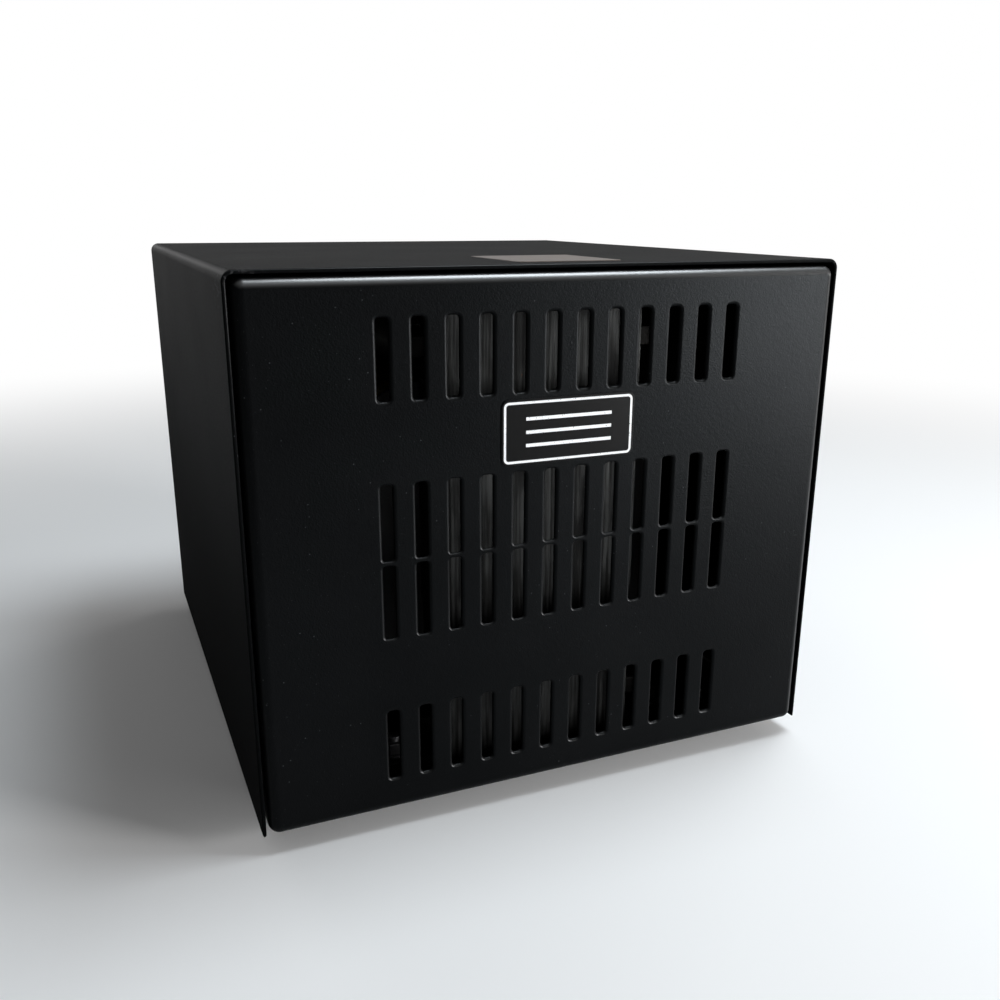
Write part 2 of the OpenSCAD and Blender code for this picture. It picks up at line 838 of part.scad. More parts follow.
module side_bolt_holes() {
    core_hole_places() translate([stack_t / 2 - over, 0, 0])
        rotate([0, 90, 0]) cylinder(d = core_bolt_d + 2 * fit, h = angle_t + 2 * over);
}

module core_bolts() {
    seat = stack_t / 2 + angle_t + core_washer_t;
    color("#c4c6c9") placed() core_hole_places() translate([-seat, 0, 0]) rotate([0, 90, 0]) {
        translate([0, 0, -core_head_t]) linear_extrude(core_head_t) hexagon(core_head_af);
        cylinder(d = core_bolt_d, h = 2 * seat + core_nut_t + core_bolt_tip);
    }
}

module core_nuts() {
    color("#c4c6c9") placed() core_hole_places()
        translate([stack_t / 2 + angle_t + core_washer_t, 0, 0]) rotate([0, 90, 0])
            linear_extrude(core_nut_t) difference() {
                hexagon(core_head_af);
                circle(d = core_bolt_d + fit);
            }
}

module core_washers() {
    color("#b4b6b9") placed() both_sides() core_hole_places()
        translate([stack_t / 2 + angle_t, 0, 0]) rotate([0, 90, 0])
            linear_extrude(core_washer_t) difference() {
                circle(d = core_washer_d);
                circle(d = core_bolt_d + 2 * fit);
            }
}

// Insulating tubes that keep the bolts clear of the laminations
module bolt_sleeves() {
    color("#e6ddc4") placed() core_hole_places() translate([-stack_t / 2, 0, 0]) rotate([0, 90, 0])
        linear_extrude(stack_t) difference() {
            circle(d = sleeve_d);
            circle(d = core_bolt_d + 2 * fit);
        }
}

module mounting_bolts() {
    top = floor_z + angle_t + mount_washer_t + mount_nut_t + mount_bolt_tip;
    color("#c4c6c9") placed() mount_places() {
        translate([0, 0, base_z - mount_head_t]) linear_extrude(mount_head_t) hexagon(mount_head_af);
        translate([0, 0, base_z]) cylinder(d = mount_bolt_d, h = top - base_z);
    }
}

module mounting_nuts() {
    color("#c4c6c9") placed() mount_places()
        translate([0, 0, floor_z + angle_t + mount_washer_t])
            linear_extrude(mount_nut_t) difference() {
                hexagon(mount_head_af);
                circle(d = mount_bolt_d + fit);
            }
}

module mounting_washers() {
    color("#b4b6b9") placed() mount_places() translate([0, 0, floor_z + angle_t])
        linear_extrude(mount_washer_t) difference() {
            circle(d = mount_washer_d);
            circle(d = mount_bolt_d + 2 * fit);
        }
}

// Middles of the terminals
terminal_xs = [for (i = [0 : terminal_count - 1]) (i - (terminal_count - 1) / 2) * terminal_pitch];
// Front and back rows of clamping screws
term_screw_ys = [block_mid_y - term_screw_in, block_mid_y + term_screw_in];

module terminal_block() {
    block_top = terminal_count * terminal_pitch + block_wall;
    color("#26282b") placed() difference() {
        union() {
            translate([-block_top / 2, block_y, floor_z]) cube([block_top, terminal_w, terminal_floor]);
            translate([-block_l / 2, block_y, floor_z]) cube([block_l, terminal_w, ear_h]);
            for (i = [0 : terminal_count])
                translate([(i - terminal_count / 2) * terminal_pitch - block_wall / 2, block_y, floor_z])
                    cube([block_wall, terminal_w, terminal_wall_h]);
        }
        for (x = terminal_xs, y = term_screw_ys)
            translate([x, y, strip_z - term_screw_l])
                cylinder(d = term_screw_d + fit, h = term_screw_l + over);
        block_screw_places() translate([0, 0, floor_z - over])
            cylinder(d = block_screw_d + 2 * fit, h = ear_h + 2 * over);
    }
}

module terminal_plates() {
    color("#c9a24b") placed() for (x = terminal_xs) difference() {
        translate([x - plate_strip_w / 2, block_y + block_wall, strip_z])
            cube([plate_strip_w, terminal_w - 2 * block_wall, plate_strip_t]);
        for (y = term_screw_ys)
            translate([x, y, strip_z - over])
                cylinder(d = term_screw_d + fit, h = plate_strip_t + 2 * over);
    }
}

module terminal_screws() {
    seat = strip_z + plate_strip_t;
    color("#cfc9bb") placed() for (x = terminal_xs, y = term_screw_ys) translate([x, y, seat]) {
        difference() {
            cylinder(d = term_screw_head_d, h = term_screw_head_t);
            translate([0, 0, term_screw_head_t]) cross_recess_flat(term_screw_head_d);
        }
        translate([0, 0, -term_screw_l]) cylinder(d = term_screw_d, h = term_screw_l);
    }
}

module block_screws() {
    color("#b9bcc0") placed() block_screw_places() translate([0, 0, floor_z + ear_h]) {
        difference() {
            cylinder(d = block_screw_head_d, h = block_screw_head_t);
            translate([0, 0, block_screw_head_t]) cross_recess_flat(block_screw_head_d);
        }
        translate([0, 0, -ear_h - sheet - over]) cylinder(d = block_screw_d, h = ear_h + sheet + over);
    }
}

// Where the leads leave the end of the coil, beside the core
lead_out_x = stack_t / 2 + former_flange / 2;
lead_out_y = coil_mid_y + former_l / 2 + fit;
lead_front_y = block_y + lead_stop;
lead_rear_y = block_back_y - lead_stop;
// Lanes for the leads behind the block, from front to back
lane_ys = [for (k = [0 : 2]) block_back_y + lead_bend + k * lane_share * lead_d];

// A lead from the coil to the front of terminal t, in lane k of its side
module coil_lead(side, k, t) {
    x = side * (lead_out_x + (k - 1) * lead_step);
    y = core_y + lam_d + coil_lane + lead_step * k;
    z = coil_mid_z + (k - 1) * lead_step;
    lead([[x, lead_out_y, z], [x, y, z], [x, y, lead_z], [terminal_xs[t], y, lead_z],
        [terminal_xs[t], lead_front_y, lead_z]]);
}

// A lead between two points that goes forward to a lane, along it at a height, and back
module hop(a, b, lane, z) {
    y = lane_ys[lane];
    lead([a, [a.x, y, a.z], [a.x, y, z], [b.x, y, z], [b.x, y, b.z], b]);
}

function terminal_rear(t) = [terminal_xs[t], lead_rear_y, lead_z];
function switch_tab(i, j) = [switch_x + i * tab_pitch_x / 2, switch_in_y - tab_l,
    control_z + j * tab_pitch_z / 2];
function inlet_tab(i) = [inlet_x + i * pin_pitch, rear_y + inlet_flange_t - inlet_depth - pin_tab,
    control_z];
function breaker_tab(j) = [breaker_x, breaker_in_y, control_z + j * tab_pitch_z / 2];
function outlet_back(i, dx, dz) = [outlet_xs[i] + dx, rear_in_y - outlet_d, outlet_z + dz];
function stud_side(j) = [stud_x, stud_in_y, stud_z + j * stud_lead_share * lead_d];

module primary_leads() {
    color("#7b2f24") placed() {
        coil_lead(-1, 2, 0);
        coil_lead(-1, 1, 1);
    }
}

module secondary_leads() {
    color("#23395c") placed() {
        coil_lead(1, 2, terminal_count - 1);
        coil_lead(1, 1, terminal_count - 2);
    }
}

// Inlet to switch, switch to breaker, and both poles to the terminal block
module supply_leads() {
    low_z = control_z - supply_share * tab_pitch_z;
    color("#4a3226") placed() {
        hop(inlet_tab(-1), switch_tab(-1, -1), 2, low_z);
        hop(inlet_tab(1), switch_tab(1, -1), 1, low_z - 2 * lead_bend);
        hop(switch_tab(-1, 1), breaker_tab(1), 2, control_z + supply_share * tab_pitch_z);
        hop(breaker_tab(-1), terminal_rear(0), 0, low_z + lead_bend);
        hop(switch_tab(1, 1), terminal_rear(1), 0, low_z + 2 * lead_bend);
    }
}

// From the block to the outlets, from outlet to outlet, and down to the lamp
module outlet_leads() {
    side = outlet_lead_share * outlet_w;
    rise = outlet_lead_share * outlet_h;
    first = floor((outlet_count - 1) / 2);
    lamp_y = rear_in_y - outlet_d - lamp_lane;
    color("#1f2f55") placed() {
        hop(terminal_rear(terminal_count - 2), outlet_back(first, 0, -rise), 0, outlet_z - 2 * rise);
        hop(terminal_rear(terminal_count - 1), outlet_back(outlet_count - 1, 0, -rise), 0,
            outlet_z - 2 * rise);
        for (i = [0 : outlet_count - 2], dz = [0, rise]) {
            a = outlet_back(i, side, dz);
            b = outlet_back(i + 1, -side, dz);
            lead([a, [a.x, lane_ys[2], a.z], [b.x, lane_ys[2], b.z], b]);
        }
        for (dx = [-1, 1] * lamp_lead_share * lamp_d) {
            a = [lamp_x + dx, rear_in_y - outlet_d, outlet_z - lamp_tap_share * rise];
            b = [lamp_x + dx, rear_in_y - lamp_depth, control_z];
            lead([a, [a.x, lamp_y, a.z], [b.x, lamp_y, b.z], b]);
        }
    }
}

// Inlet and screen to the earth stud
module earth_leads() {
    color("#4c7a2b") placed() {
        coil_lead(-1, 0, 2);
        hop(inlet_tab(0), stud_side(1), 2, control_z + earth_share * tab_pitch_z);
        a = stud_side(-1);
        b = terminal_rear(2);
        lead([a, [a.x, lane_ys[1], a.z], [b.x, lane_ys[1], a.z], [b.x, lane_ys[1], b.z], b]);
    }
}

module inlet_housing() {
    face_y = rear_y + inlet_flange_t;
    color("#141416") placed() difference() {
        translate([inlet_x, 0, control_z]) difference() {
            union() {
                depthwise(rear_y, inlet_flange_t)
                    round_rect(inlet_flange_w, inlet_flange_h, inlet_corner_r);
                depthwise(face_y - inlet_depth, inlet_depth)
                    square([inlet_body_w, inlet_body_h], center = true);
            }
            depthwise(face_y - recess_d, recess_d + over)
                round_rect(recess_w, recess_h, inlet_corner_r);
            for (i = [-1, 0, 1])
                translate([i * pin_pitch, 0, 0]) depthwise(face_y - inlet_depth - over, inlet_depth)
                    square([pin_w + fit, pin_h + fit], center = true);
        }
        inlet_screw_places() pin_y(small_screw_d + fit, rear_y - over, inlet_flange_t + 2 * over);
    }
}

module inlet_pins() {
    face_y = rear_y + inlet_flange_t;
    l = pin_tab + inlet_wall + pin_len;
    color("#c9c9c4") placed() for (i = [-1, 0, 1])
        translate([inlet_x + i * pin_pitch, 0, control_z])
            depthwise(face_y - inlet_depth - pin_tab, l) square([pin_w, pin_h], center = true);
}

module inlet_screws() {
    seat = rear_y + inlet_flange_t;
    color("#2a2b2e") placed() inlet_screw_places() difference() {
        rear_screw(small_screw_d, small_screw_l, small_screw_head_d, small_screw_head_t, seat);
        cross_recess(seat + small_screw_head_t, small_screw_head_d);
    }
}

// Frame and housing of the rocker switch, with blind bores for the rocker's pivots
module switch_housing() {
    face_y = rear_y + switch_bezel_t;
    color("#161618") placed() translate([switch_x, 0, control_z]) difference() {
        union() {
            depthwise(rear_y, switch_bezel_t) round_rect(switch_w, switch_h, switch_corner_r);
            depthwise(switch_in_y, switch_d + sheet)
                square([switch_body_w, switch_body_h], center = true);
        }
        depthwise(face_y - cavity_d, cavity_d + over) square([cavity_w, cavity_h], center = true);
        translate([-rocker_w / 2 - pivot_stub - pivot_end_gap, pivot_y, 0]) rotate([0, 90, 0])
            cylinder(d = pivot_d + 2 * pivot_gap, h = rocker_w + 2 * (pivot_stub + pivot_end_gap));
        for (x = [-1, 1], z = [-1, 1])
            translate([x * tab_pitch_x / 2, 0, z * tab_pitch_z / 2])
                depthwise(switch_in_y - over, tab_root + over)
                    square([tab_t + fit, tab_w + fit], center = true);
    }
}

module switch_tabs() {
    color("#c8b27a") placed() for (i = [-1, 1], j = [-1, 1]) {
        p = switch_tab(i, j);
        translate([p.x, 0, p.z]) depthwise(p.y, tab_l + tab_root) square([tab_t, tab_w], center = true);
    }
}

// The rocker, with its upper half proud: two flat halves that meet above the pivot line
module rocker() {
    half = rocker_l / 2;
    tip = rocker_mid + half * tan(rocker_tilt);
    keel = half * rocker_keel_share;
    color("#b3261e") placed() translate([switch_x, pivot_y, control_z]) rotate([-rocker_tilt, 0, 0]) {
        sideways(-rocker_w / 2, rocker_w)
            polygon([[rocker_mid, 0], [tip, half], [-rocker_skirt, half], [-rocker_keel, keel],
                [-rocker_keel, -keel], [-rocker_skirt, -half], [tip, -half]]);
        translate([-rocker_w / 2 - pivot_stub, 0, 0]) rotate([0, 90, 0])
            cylinder(d = pivot_d, h = rocker_w + 2 * pivot_stub);
    }
}

// Breaker body behind the panel and its threaded bushing through it
module breaker_housing() {
    bore_y = chamber_top - chamber_l;
    color("#1a1a1c") placed() translate([breaker_x, 0, control_z]) difference() {
        union() {
            depthwise(breaker_in_y, breaker_depth) square([breaker_w, breaker_h], center = true);
            pin_y(bushing_d, rear_in_y, sheet + bushing_out);
        }
        pin_y(bushing_bore_d, chamber_top - over, rear_y + bushing_out - chamber_top + 2 * over);
        pin_y(chamber_d, bore_y, chamber_l);
    }
}

module breaker_nut() {
    color("#c6c7c9") placed() translate([breaker_x, 0, control_z])
        depthwise(rear_y, bushing_nut_t) difference() {
            hexagon(bushing_nut_af);
            circle(d = bushing_d + fit);
        }
}

module reset_button() {
    color("#e8e6df") placed() translate([breaker_x, 0, control_z]) {
        pin_y(button_d, button_foot_y, button_top_y - button_foot_y);
        pin_y(collar_d, button_foot_y, collar_t);
    }
}

module outlet_housings() {
    face_y = rear_y + outlet_t;
    color("#1b1b1e") placed() outlet_places() difference() {
        union() {
            depthwise(rear_y, outlet_t) round_rect(outlet_w, outlet_h, outlet_corner_r);
            depthwise(rear_in_y - outlet_d, outlet_d + sheet)
                square([outlet_body_w, outlet_body_h], center = true);
        }
        for (x = [-1, 1]) translate([x * blade_pitch / 2, 0, blade_z]) {
            depthwise(face_y - face_t - over, face_t + 2 * over)
                square([blade_slot_w, blade_slot_h], center = true);
            depthwise(face_y - face_t - pocket_l, pocket_l)
                square([pocket_w, pocket_h], center = true);
        }
        translate([0, 0, earth_hole_z]) {
            pin_y(earth_hole_d, face_y - face_t - over, face_t + 2 * over);
            pin_y(earth_hole_d + 2 * (contact_t + fit), face_y - face_t - pocket_l, pocket_l);
        }
    }
}

// Spring contacts in the outlets: two forks and a tube in each
module outlet_contacts() {
    back_y = rear_y + outlet_t - face_t - fit - contact_l;
    fork_w = contact_gap + 2 * contact_t;
    color("#c9a24b") placed() outlet_places() {
        for (x = [-1, 1]) translate([x * blade_pitch / 2, 0, blade_z]) difference() {
            depthwise(back_y, contact_l) square([fork_w, blade_slot_h], center = true);
            depthwise(back_y + contact_t, contact_l)
                square([contact_gap, blade_slot_h + over], center = true);
        }
        translate([0, 0, earth_hole_z]) difference() {
            pin_y(earth_hole_d + 2 * contact_t, back_y, contact_l);
            pin_y(earth_hole_d, back_y + contact_t, contact_l);
        }
    }
}

module lamp_housing() {
    color("#c6c7c9") placed() translate([lamp_x, 0, control_z]) difference() {
        union() {
            pin_y(lamp_bezel_d, rear_y, lamp_bezel_t);
            pin_y(lamp_d, rear_in_y - lamp_depth, lamp_depth + sheet);
        }
        pin_y(lamp_lens_d + fit, rear_in_y, sheet + lamp_bezel_t + over);
    }
}

// Domed lens of the lamp
module lamp_lens() {
    seat = rear_y + lamp_bezel_t;
    color("#d9822b") placed() translate([lamp_x, 0, control_z]) {
        pin_y(lamp_lens_d, rear_in_y, seat - rear_in_y);
        translate([0, seat, 0]) intersection() {
            sphere(d = lamp_lens_d);
            translate([-lamp_lens_d, 0, -lamp_lens_d]) cube(2 * lamp_lens_d);
        }
    }
}

module lamp_nut() {
    color("#c6c7c9") placed() translate([lamp_x, 0, control_z])
        depthwise(rear_in_y - lamp_nut_t, lamp_nut_t) difference() {
            hexagon(lamp_nut_af);
            circle(d = lamp_d + fit);
        }
}

// Earth stud: a collar on the panel, a free thread behind it and a tail inside
module earth_stud() {
    color("#c9b26a") placed() translate([stud_x, 0, stud_z]) {
        depthwise(rear_y, stud_collar_t) hexagon(stud_collar_af);
        pin_y(stud_d, stud_in_y, rear_y - stud_in_y);
        pin_y(stud_d, rear_y + stud_collar_t, stud_out);
    }
}

module earth_nut() {
    color("#c9b26a") placed() translate([stud_x, 0, stud_z])
        depthwise(rear_in_y - stud_washer_t - stud_nut_t, stud_nut_t) difference() {
            hexagon(stud_nut_af);
            circle(d = stud_d + fit);
        }
}

module earth_washer() {
    color("#c9b26a") placed() translate([stud_x, 0, stud_z])
        depthwise(rear_in_y - stud_washer_t, stud_washer_t) difference() {
            circle(d = stud_washer_d);
            circle(d = stud_d + 2 * fit);
        }
}

chassis();
cover();
cover_screws();
rubber_feet();
foot_screws();
foot_nuts();
front_plate();
top_label();
core_e_stack();
core_i_stack();
coil_former();
primary_winding();
insulation_layers();
copper_screen();
secondary_winding();
outer_wrap();
foot_angles();
clamp_bars();
core_bolts();
core_nuts();
core_washers();
bolt_sleeves();
mounting_bolts();
mounting_nuts();
mounting_washers();
terminal_block();
terminal_plates();
terminal_screws();
block_screws();
primary_leads();
secondary_leads();
supply_leads();
outlet_leads();
earth_leads();
inlet_housing();
inlet_pins();
inlet_screws();
switch_housing();
switch_tabs();
rocker();
breaker_housing();
breaker_nut();
reset_button();
outlet_housings();
outlet_contacts();
lamp_housing();
lamp_lens();
lamp_nut();
earth_stud();
earth_nut();
earth_washer();
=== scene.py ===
"""Looks of a bench isolation transformer in a folded steel case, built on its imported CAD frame."""

import json
import math

import bmesh
import bpy
import numpy as np
from bpy.props import FloatProperty, FloatVectorProperty, IntProperty
from mathutils import Euler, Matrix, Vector

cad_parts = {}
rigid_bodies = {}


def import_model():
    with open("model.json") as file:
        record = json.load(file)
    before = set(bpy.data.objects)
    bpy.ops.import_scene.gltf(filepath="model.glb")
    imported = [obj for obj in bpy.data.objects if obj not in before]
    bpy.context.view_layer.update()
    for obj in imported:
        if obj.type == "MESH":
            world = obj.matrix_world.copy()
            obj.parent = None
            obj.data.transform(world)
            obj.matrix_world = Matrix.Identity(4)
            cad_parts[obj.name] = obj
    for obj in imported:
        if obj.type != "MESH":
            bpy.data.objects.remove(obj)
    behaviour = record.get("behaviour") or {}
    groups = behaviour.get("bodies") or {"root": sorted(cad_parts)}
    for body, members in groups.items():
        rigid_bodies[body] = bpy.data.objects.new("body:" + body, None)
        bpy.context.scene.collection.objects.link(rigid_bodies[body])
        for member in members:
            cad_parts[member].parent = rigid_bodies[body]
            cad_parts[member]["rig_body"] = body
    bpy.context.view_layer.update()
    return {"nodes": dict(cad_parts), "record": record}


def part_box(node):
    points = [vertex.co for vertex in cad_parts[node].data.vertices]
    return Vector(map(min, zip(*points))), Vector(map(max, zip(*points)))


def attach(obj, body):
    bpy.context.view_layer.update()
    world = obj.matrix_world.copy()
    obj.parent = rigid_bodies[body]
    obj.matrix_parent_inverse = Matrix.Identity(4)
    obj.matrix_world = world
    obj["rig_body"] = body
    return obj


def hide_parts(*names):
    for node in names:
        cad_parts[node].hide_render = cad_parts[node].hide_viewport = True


bl_info = {
    "name": "Isolation transformer",
    "version": (1, 0, 0),
    "blender": (4, 5, 0),
    "location": "View3D > Sidebar > Transformer",
    "description": "Dresses a bench isolation transformer in a folded steel case",
    "category": "Object",
}

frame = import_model()
MM = 0.001
# Points closer than this are one point
SAME = 0.001 * MM
# Faces that turn by less than this are one face, and edges that turn by more than this are sharp
FLAT_ANGLE, SHARP_ANGLE = math.radians(0.5), math.radians(35)
# The two axes across each axis of a box
ACROSS = ((1, 2), (0, 2), (0, 1))

# Lowest and highest corners of CAD nodes
CASE_LO, CASE_HI = np.array(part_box("cover"))
TRAY_LO, TRAY_HI = np.array(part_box("chassis"))
PLATE_LO, PLATE_HI = np.array(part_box("front_plate"))
LABEL_LO, LABEL_HI = np.array(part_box("top_label"))
CORE_LO, CORE_HI = np.array(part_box("core_e_stack"))
YOKE_LO, YOKE_HI = np.array(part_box("core_i_stack"))


# Sizes and colours


def length(name, description, default):
    return FloatProperty(name=name, description=description, default=default, min=0.0, unit="LENGTH")


def power(name, description, default):
    return FloatProperty(name=name, description="Power of the " + description, default=default, min=0.0)


def share(name, description, default):
    return FloatProperty(name=name, description=description, default=default, subtype="FACTOR")


def colour(name, description, default):
    limits = {"min": 0.0, "max": 1.0}
    return FloatVectorProperty(name=name, description=description, default=default, subtype="COLOR", **limits)


class CaseSizes(bpy.types.PropertyGroup):
    sheet: length("Sheet", "Thickness of the folded sheet", 1.5 * MM)
    cover_bend: length("Cover bend", "Outside radius of the cover's bends", 4 * MM)
    tray_bend: length("Chassis bend", "Outside radius of the chassis bends", 4.4 * MM)
    edge: length("Sheet edge", "Rounding of the painted sheet's free edges", 0.7 * MM)
    flange: length("Flange", "Depth of the flanges behind the panels", 14 * MM)
    base_flange: length("Base flange", "Height of the flanges along the base", 12 * MM)
    return_w: length("Return", "Width of the cover's return behind the rear panel", 12 * MM)
    slot_w: length("Slot width", "Width of a ventilation slot between its painted edges", 4.5 * MM)
    slot_l: length("Slot length", "Length of a ventilation slot between its painted edges", 28.9 * MM)
    slot_corner: length("Slot corner", "Corner radius of a slot", 1.25 * MM)
    slot_pitch: length("Slot pitch", "Distance from slot to slot", 13 * MM)
    slot_web: length("Slot web", "Strip between the two middle rows", 1.8 * MM)
    slot_lip: length("Slot lip", "Rounding of the front edges of slots", 1.4 * MM)
    slot_count: IntProperty(name="Slots", description="Slots in a row", default=12)
    rear_drop: length("Rear row", "Distance of the rear row below the height of the highest row", 8 * MM)
    margin_top: length("Upper margin", "Distance of the highest slots below the cover's top", 16.7 * MM)
    margin_low: length("Lower margin", "Distance of the lowest slots above the cover's lower edge", 14.2 * MM)


class TrimSizes(bpy.types.PropertyGroup):
    plate_corner: length("Plate corner", "Corner radius of the front plate", 3 * MM)
    plate_edge: length("Plate edge", "Rounding of the front plate's edge", 0.3 * MM)
    border_gap: length("Border gap", "Distance of the printed border from the plate's edge", 1 * MM)
    border_w: length("Border width", "Width of the printed border", 0.9 * MM)
    label_corner: length("Label corner", "Corner radius of the top label", 1.2 * MM)
    lamination: length("Lamination", "Thickness of one lamination", 0.5 * MM)
    stagger: length("Stagger", "How far laminations stand out from each other", 0.16 * MM)
    soft_edge: length("Soft edge", "Rounding of moulded and turned edges", 0.35 * MM)


class Finishes(bpy.types.PropertyGroup):
    coat: colour("Powder coat", "Colour of the powder coat", (0.0015, 0.0016, 0.0017))
    coat_gloss: share("Coat roughness", "Roughness of the powder coat on the chassis", 0.38)
    cover_gloss: share("Cover roughness", "Roughness of the powder coat on the cover", 0.62)
    print_tone: colour("Print", "Colour of the printed lines", (0.75, 0.76, 0.78))
    label_tone: colour("Label", "Colour of the label film", (0.115, 0.09, 0.075))
    steel: colour("Laminations", "Colour of the lamination edges", (0.028, 0.029, 0.0285))
    copper: colour("Copper", "Colour of the enamelled copper", (0.45, 0.14, 0.04))
    rocker: colour("Rocker", "Colour of the rocker", (0.45, 0.01, 0.008))
    lens: colour("Lens", "Colour of the lamp's lens", (0.85, 0.28, 0.02))


class StageSizes(bpy.types.PropertyGroup):
    key_watts: power("Key", "lamp before the panel at the right", 17.0)
    rim_watts: power("Rim", "lamp over the case", 8.4)
    side_watts: power("Side", "lamp behind at the left", 2.5)
    back_watts: power("Back", "lamp behind at the right", 4.0)
    right_watts: power("Right", "low lamp at the right", 2.0)
    fill: FloatProperty(name="World", description="Strength of the plain world light", default=0.18)
    clear: length("Clear floor", "Distance up to which the floor is plain", 0.35)
    far: length("Far floor", "Distance from which the floor is as white as the background", 1.2)
    lens_mm: FloatProperty(name="Lens", description="Focal length for a 36 mm wide image", default=35.78)


# Shader maths


def arithmetic(operation, swapped=False):
    """A method of Signal that takes it and another number through a Math node, in that order or swapped."""

    def method(self, other):
        return self.math(operation, *((other, self) if swapped else (self, other)))

    return method


class Signal:
    """A number on its way between shader nodes. Arithmetic on it adds Math nodes."""

    def __init__(self, finish, socket):
        self.finish = finish
        self.socket = socket

    def math(self, operation, *terms):
        inputs = {str(i): t for i, t in enumerate(terms)}
        return self.finish.add("ShaderNodeMath", {"operation": operation}, **inputs)

    __add__, __radd__ = arithmetic("ADD"), arithmetic("ADD", swapped=True)
    __sub__, __rsub__ = arithmetic("SUBTRACT"), arithmetic("SUBTRACT", swapped=True)
    __mul__, __rmul__ = arithmetic("MULTIPLY"), arithmetic("MULTIPLY", swapped=True)
    __truediv__, __pow__ = arithmetic("DIVIDE"), arithmetic("POWER")
    most, least = arithmetic("MAXIMUM"), arithmetic("MINIMUM")

    def __abs__(self):
        return self.math("ABSOLUTE", self)

    def turns(self, period):
        """How far through its own period a point is, from 0 to 1."""
        return self.math("FRACT", self / period)

    def repeat(self, period):
        """Distance from the middle of a stripe, 0 to 1 at its edges, for stripes of that period."""
        return abs(self.turns(period) - 0.5) * 2

    def ramp(self, low, high):
        """0 below low, 1 above high, and a smooth rise between them."""
        settings = {"interpolation_type": "SMOOTHSTEP"}
        return self.finish.add("ShaderNodeMapRange", settings, **{"0": self, "1": low, "2": high})


class Finish:
    """A procedural material under construction, on one Principled shader."""

    def __init__(self, name, **constants):
        self.material = bpy.data.materials.new(name)
        self.material.use_nodes = True
        self.use(self.material.node_tree, "Principled BSDF")
        self.give(**constants)

    @classmethod
    def on(cls, tree, shader):
        """A builder on the nodes of something that isn't a material."""
        made = cls.__new__(cls)
        made.material = None
        made.use(tree, shader)
        return made

    def use(self, tree, shader):
        self.nodes, self.links = tree.nodes, tree.links
        self.shader = self.nodes[shader]

    def feed(self, socket, value):
        if isinstance(value, Signal):
            self.links.new(value.socket, socket)
        elif socket.type == "RGBA":
            socket.default_value = (*value[:3], 1.0)
        else:
            socket.default_value = value

    def add(self, kind, settings=None, out=0, **inputs):
        """Adds a node: its settings first, then the values or links of its sockets, by name or number."""
        node = self.nodes.new(kind)
        for key, value in (settings or {}).items():
            setattr(node, key, value)
        for key, value in inputs.items():
            self.feed(node.inputs[int(key) if key.isdigit() else key.replace("_", " ")], value)
        return Signal(self, node.outputs[out])

    def place(self):
        return self.add("ShaderNodeTexCoord", out="Object")

    def split(self, vector):
        node = self.nodes.new("ShaderNodeSeparateXYZ")
        self.feed(node.inputs[0], vector)
        return tuple(Signal(self, o) for o in node.outputs)

    def axes(self):
        """The X, Y and Z of a point in metres."""
        return self.split(self.place())

    def polish(self):
        """Painted sheen: 1 on bends and rolled edges that face up or to the right, towards the lamps, 0 on
        flats.
        """
        x, y, z = self.split(self.add("ShaderNodeTexCoord", out="Normal"))
        turned = 1 - abs(x).most(abs(y)).most(abs(z))
        return turned.ramp(0.0005, 0.12) * (x * 0.6 + z).ramp(-0.1, 0.5)

    def scaled(self, size, stretch=(1, 1, 1), shift=0.0):
        """Object coordinates in steps of that size in metres, drawn out along the stretched axes."""
        scale = tuple(1 / (size * s) for s in stretch)
        return self.add("ShaderNodeMapping", Vector=self.place(), Scale=scale, Location=(shift, shift, shift))

    def noise(self, size, detail=2.0, rough=0.5, stretch=(1, 1, 1), shift=0.0):
        """Cloudy noise whose blots are about that size in metres, drawn out along the stretched axes."""
        at = self.scaled(size, stretch, shift)
        return self.add("ShaderNodeTexNoise", Vector=at, Scale=1.0, Detail=detail, Roughness=rough)

    def cells(self, size):
        """Distance from the nearest of scattered points about that size apart, 0 at the points."""
        return self.add("ShaderNodeTexVoronoi", Vector=self.scaled(size), Scale=1.0)

    def blend(self, factor, low, high):
        """A colour between two colours."""
        inputs = {"0": factor, "6": low, "7": high}
        return self.add("ShaderNodeMix", {"data_type": "RGBA"}, out=2, **inputs)

    def relief(self, height, depth, strength=1.0):
        """A bump of that depth in metres for a height of 1."""
        bump = self.add("ShaderNodeBump", Height=height, Distance=depth, Strength=strength)
        self.feed(self.shader.inputs["Normal"], bump)

    def background_rays(self, ahead):
        """1 for rays that see the white background directly or through clear pieces, and 1 for rays that the
        object mirrors towards the wall, which stands in the fixed direction given as ahead."""
        kinds = ("Camera", "Transmission", "Glossy")
        camera, through, mirrored = (self.add("ShaderNodeLightPath", out="Is %s Ray" % k) for k in kinds)
        inputs = {"0": self.add("ShaderNodeNewGeometry", out="Incoming"), "1": ahead}
        away = self.add("ShaderNodeVectorMath", {"operation": "DOT_PRODUCT"}, out="Value", **inputs)
        return camera.most(through), mirrored * (0 - away).ramp(0.6, 0.85)

    def give(self, **inputs):
        for socket, value in inputs.items():
            self.feed(self.shader.inputs[socket.replace("_", " ")], value)
        return self.material


def tint(tone, factor):
    """The same colour, lighter or darker."""
    return tuple(min(1.0, c * factor) for c in tone)


# Finishes


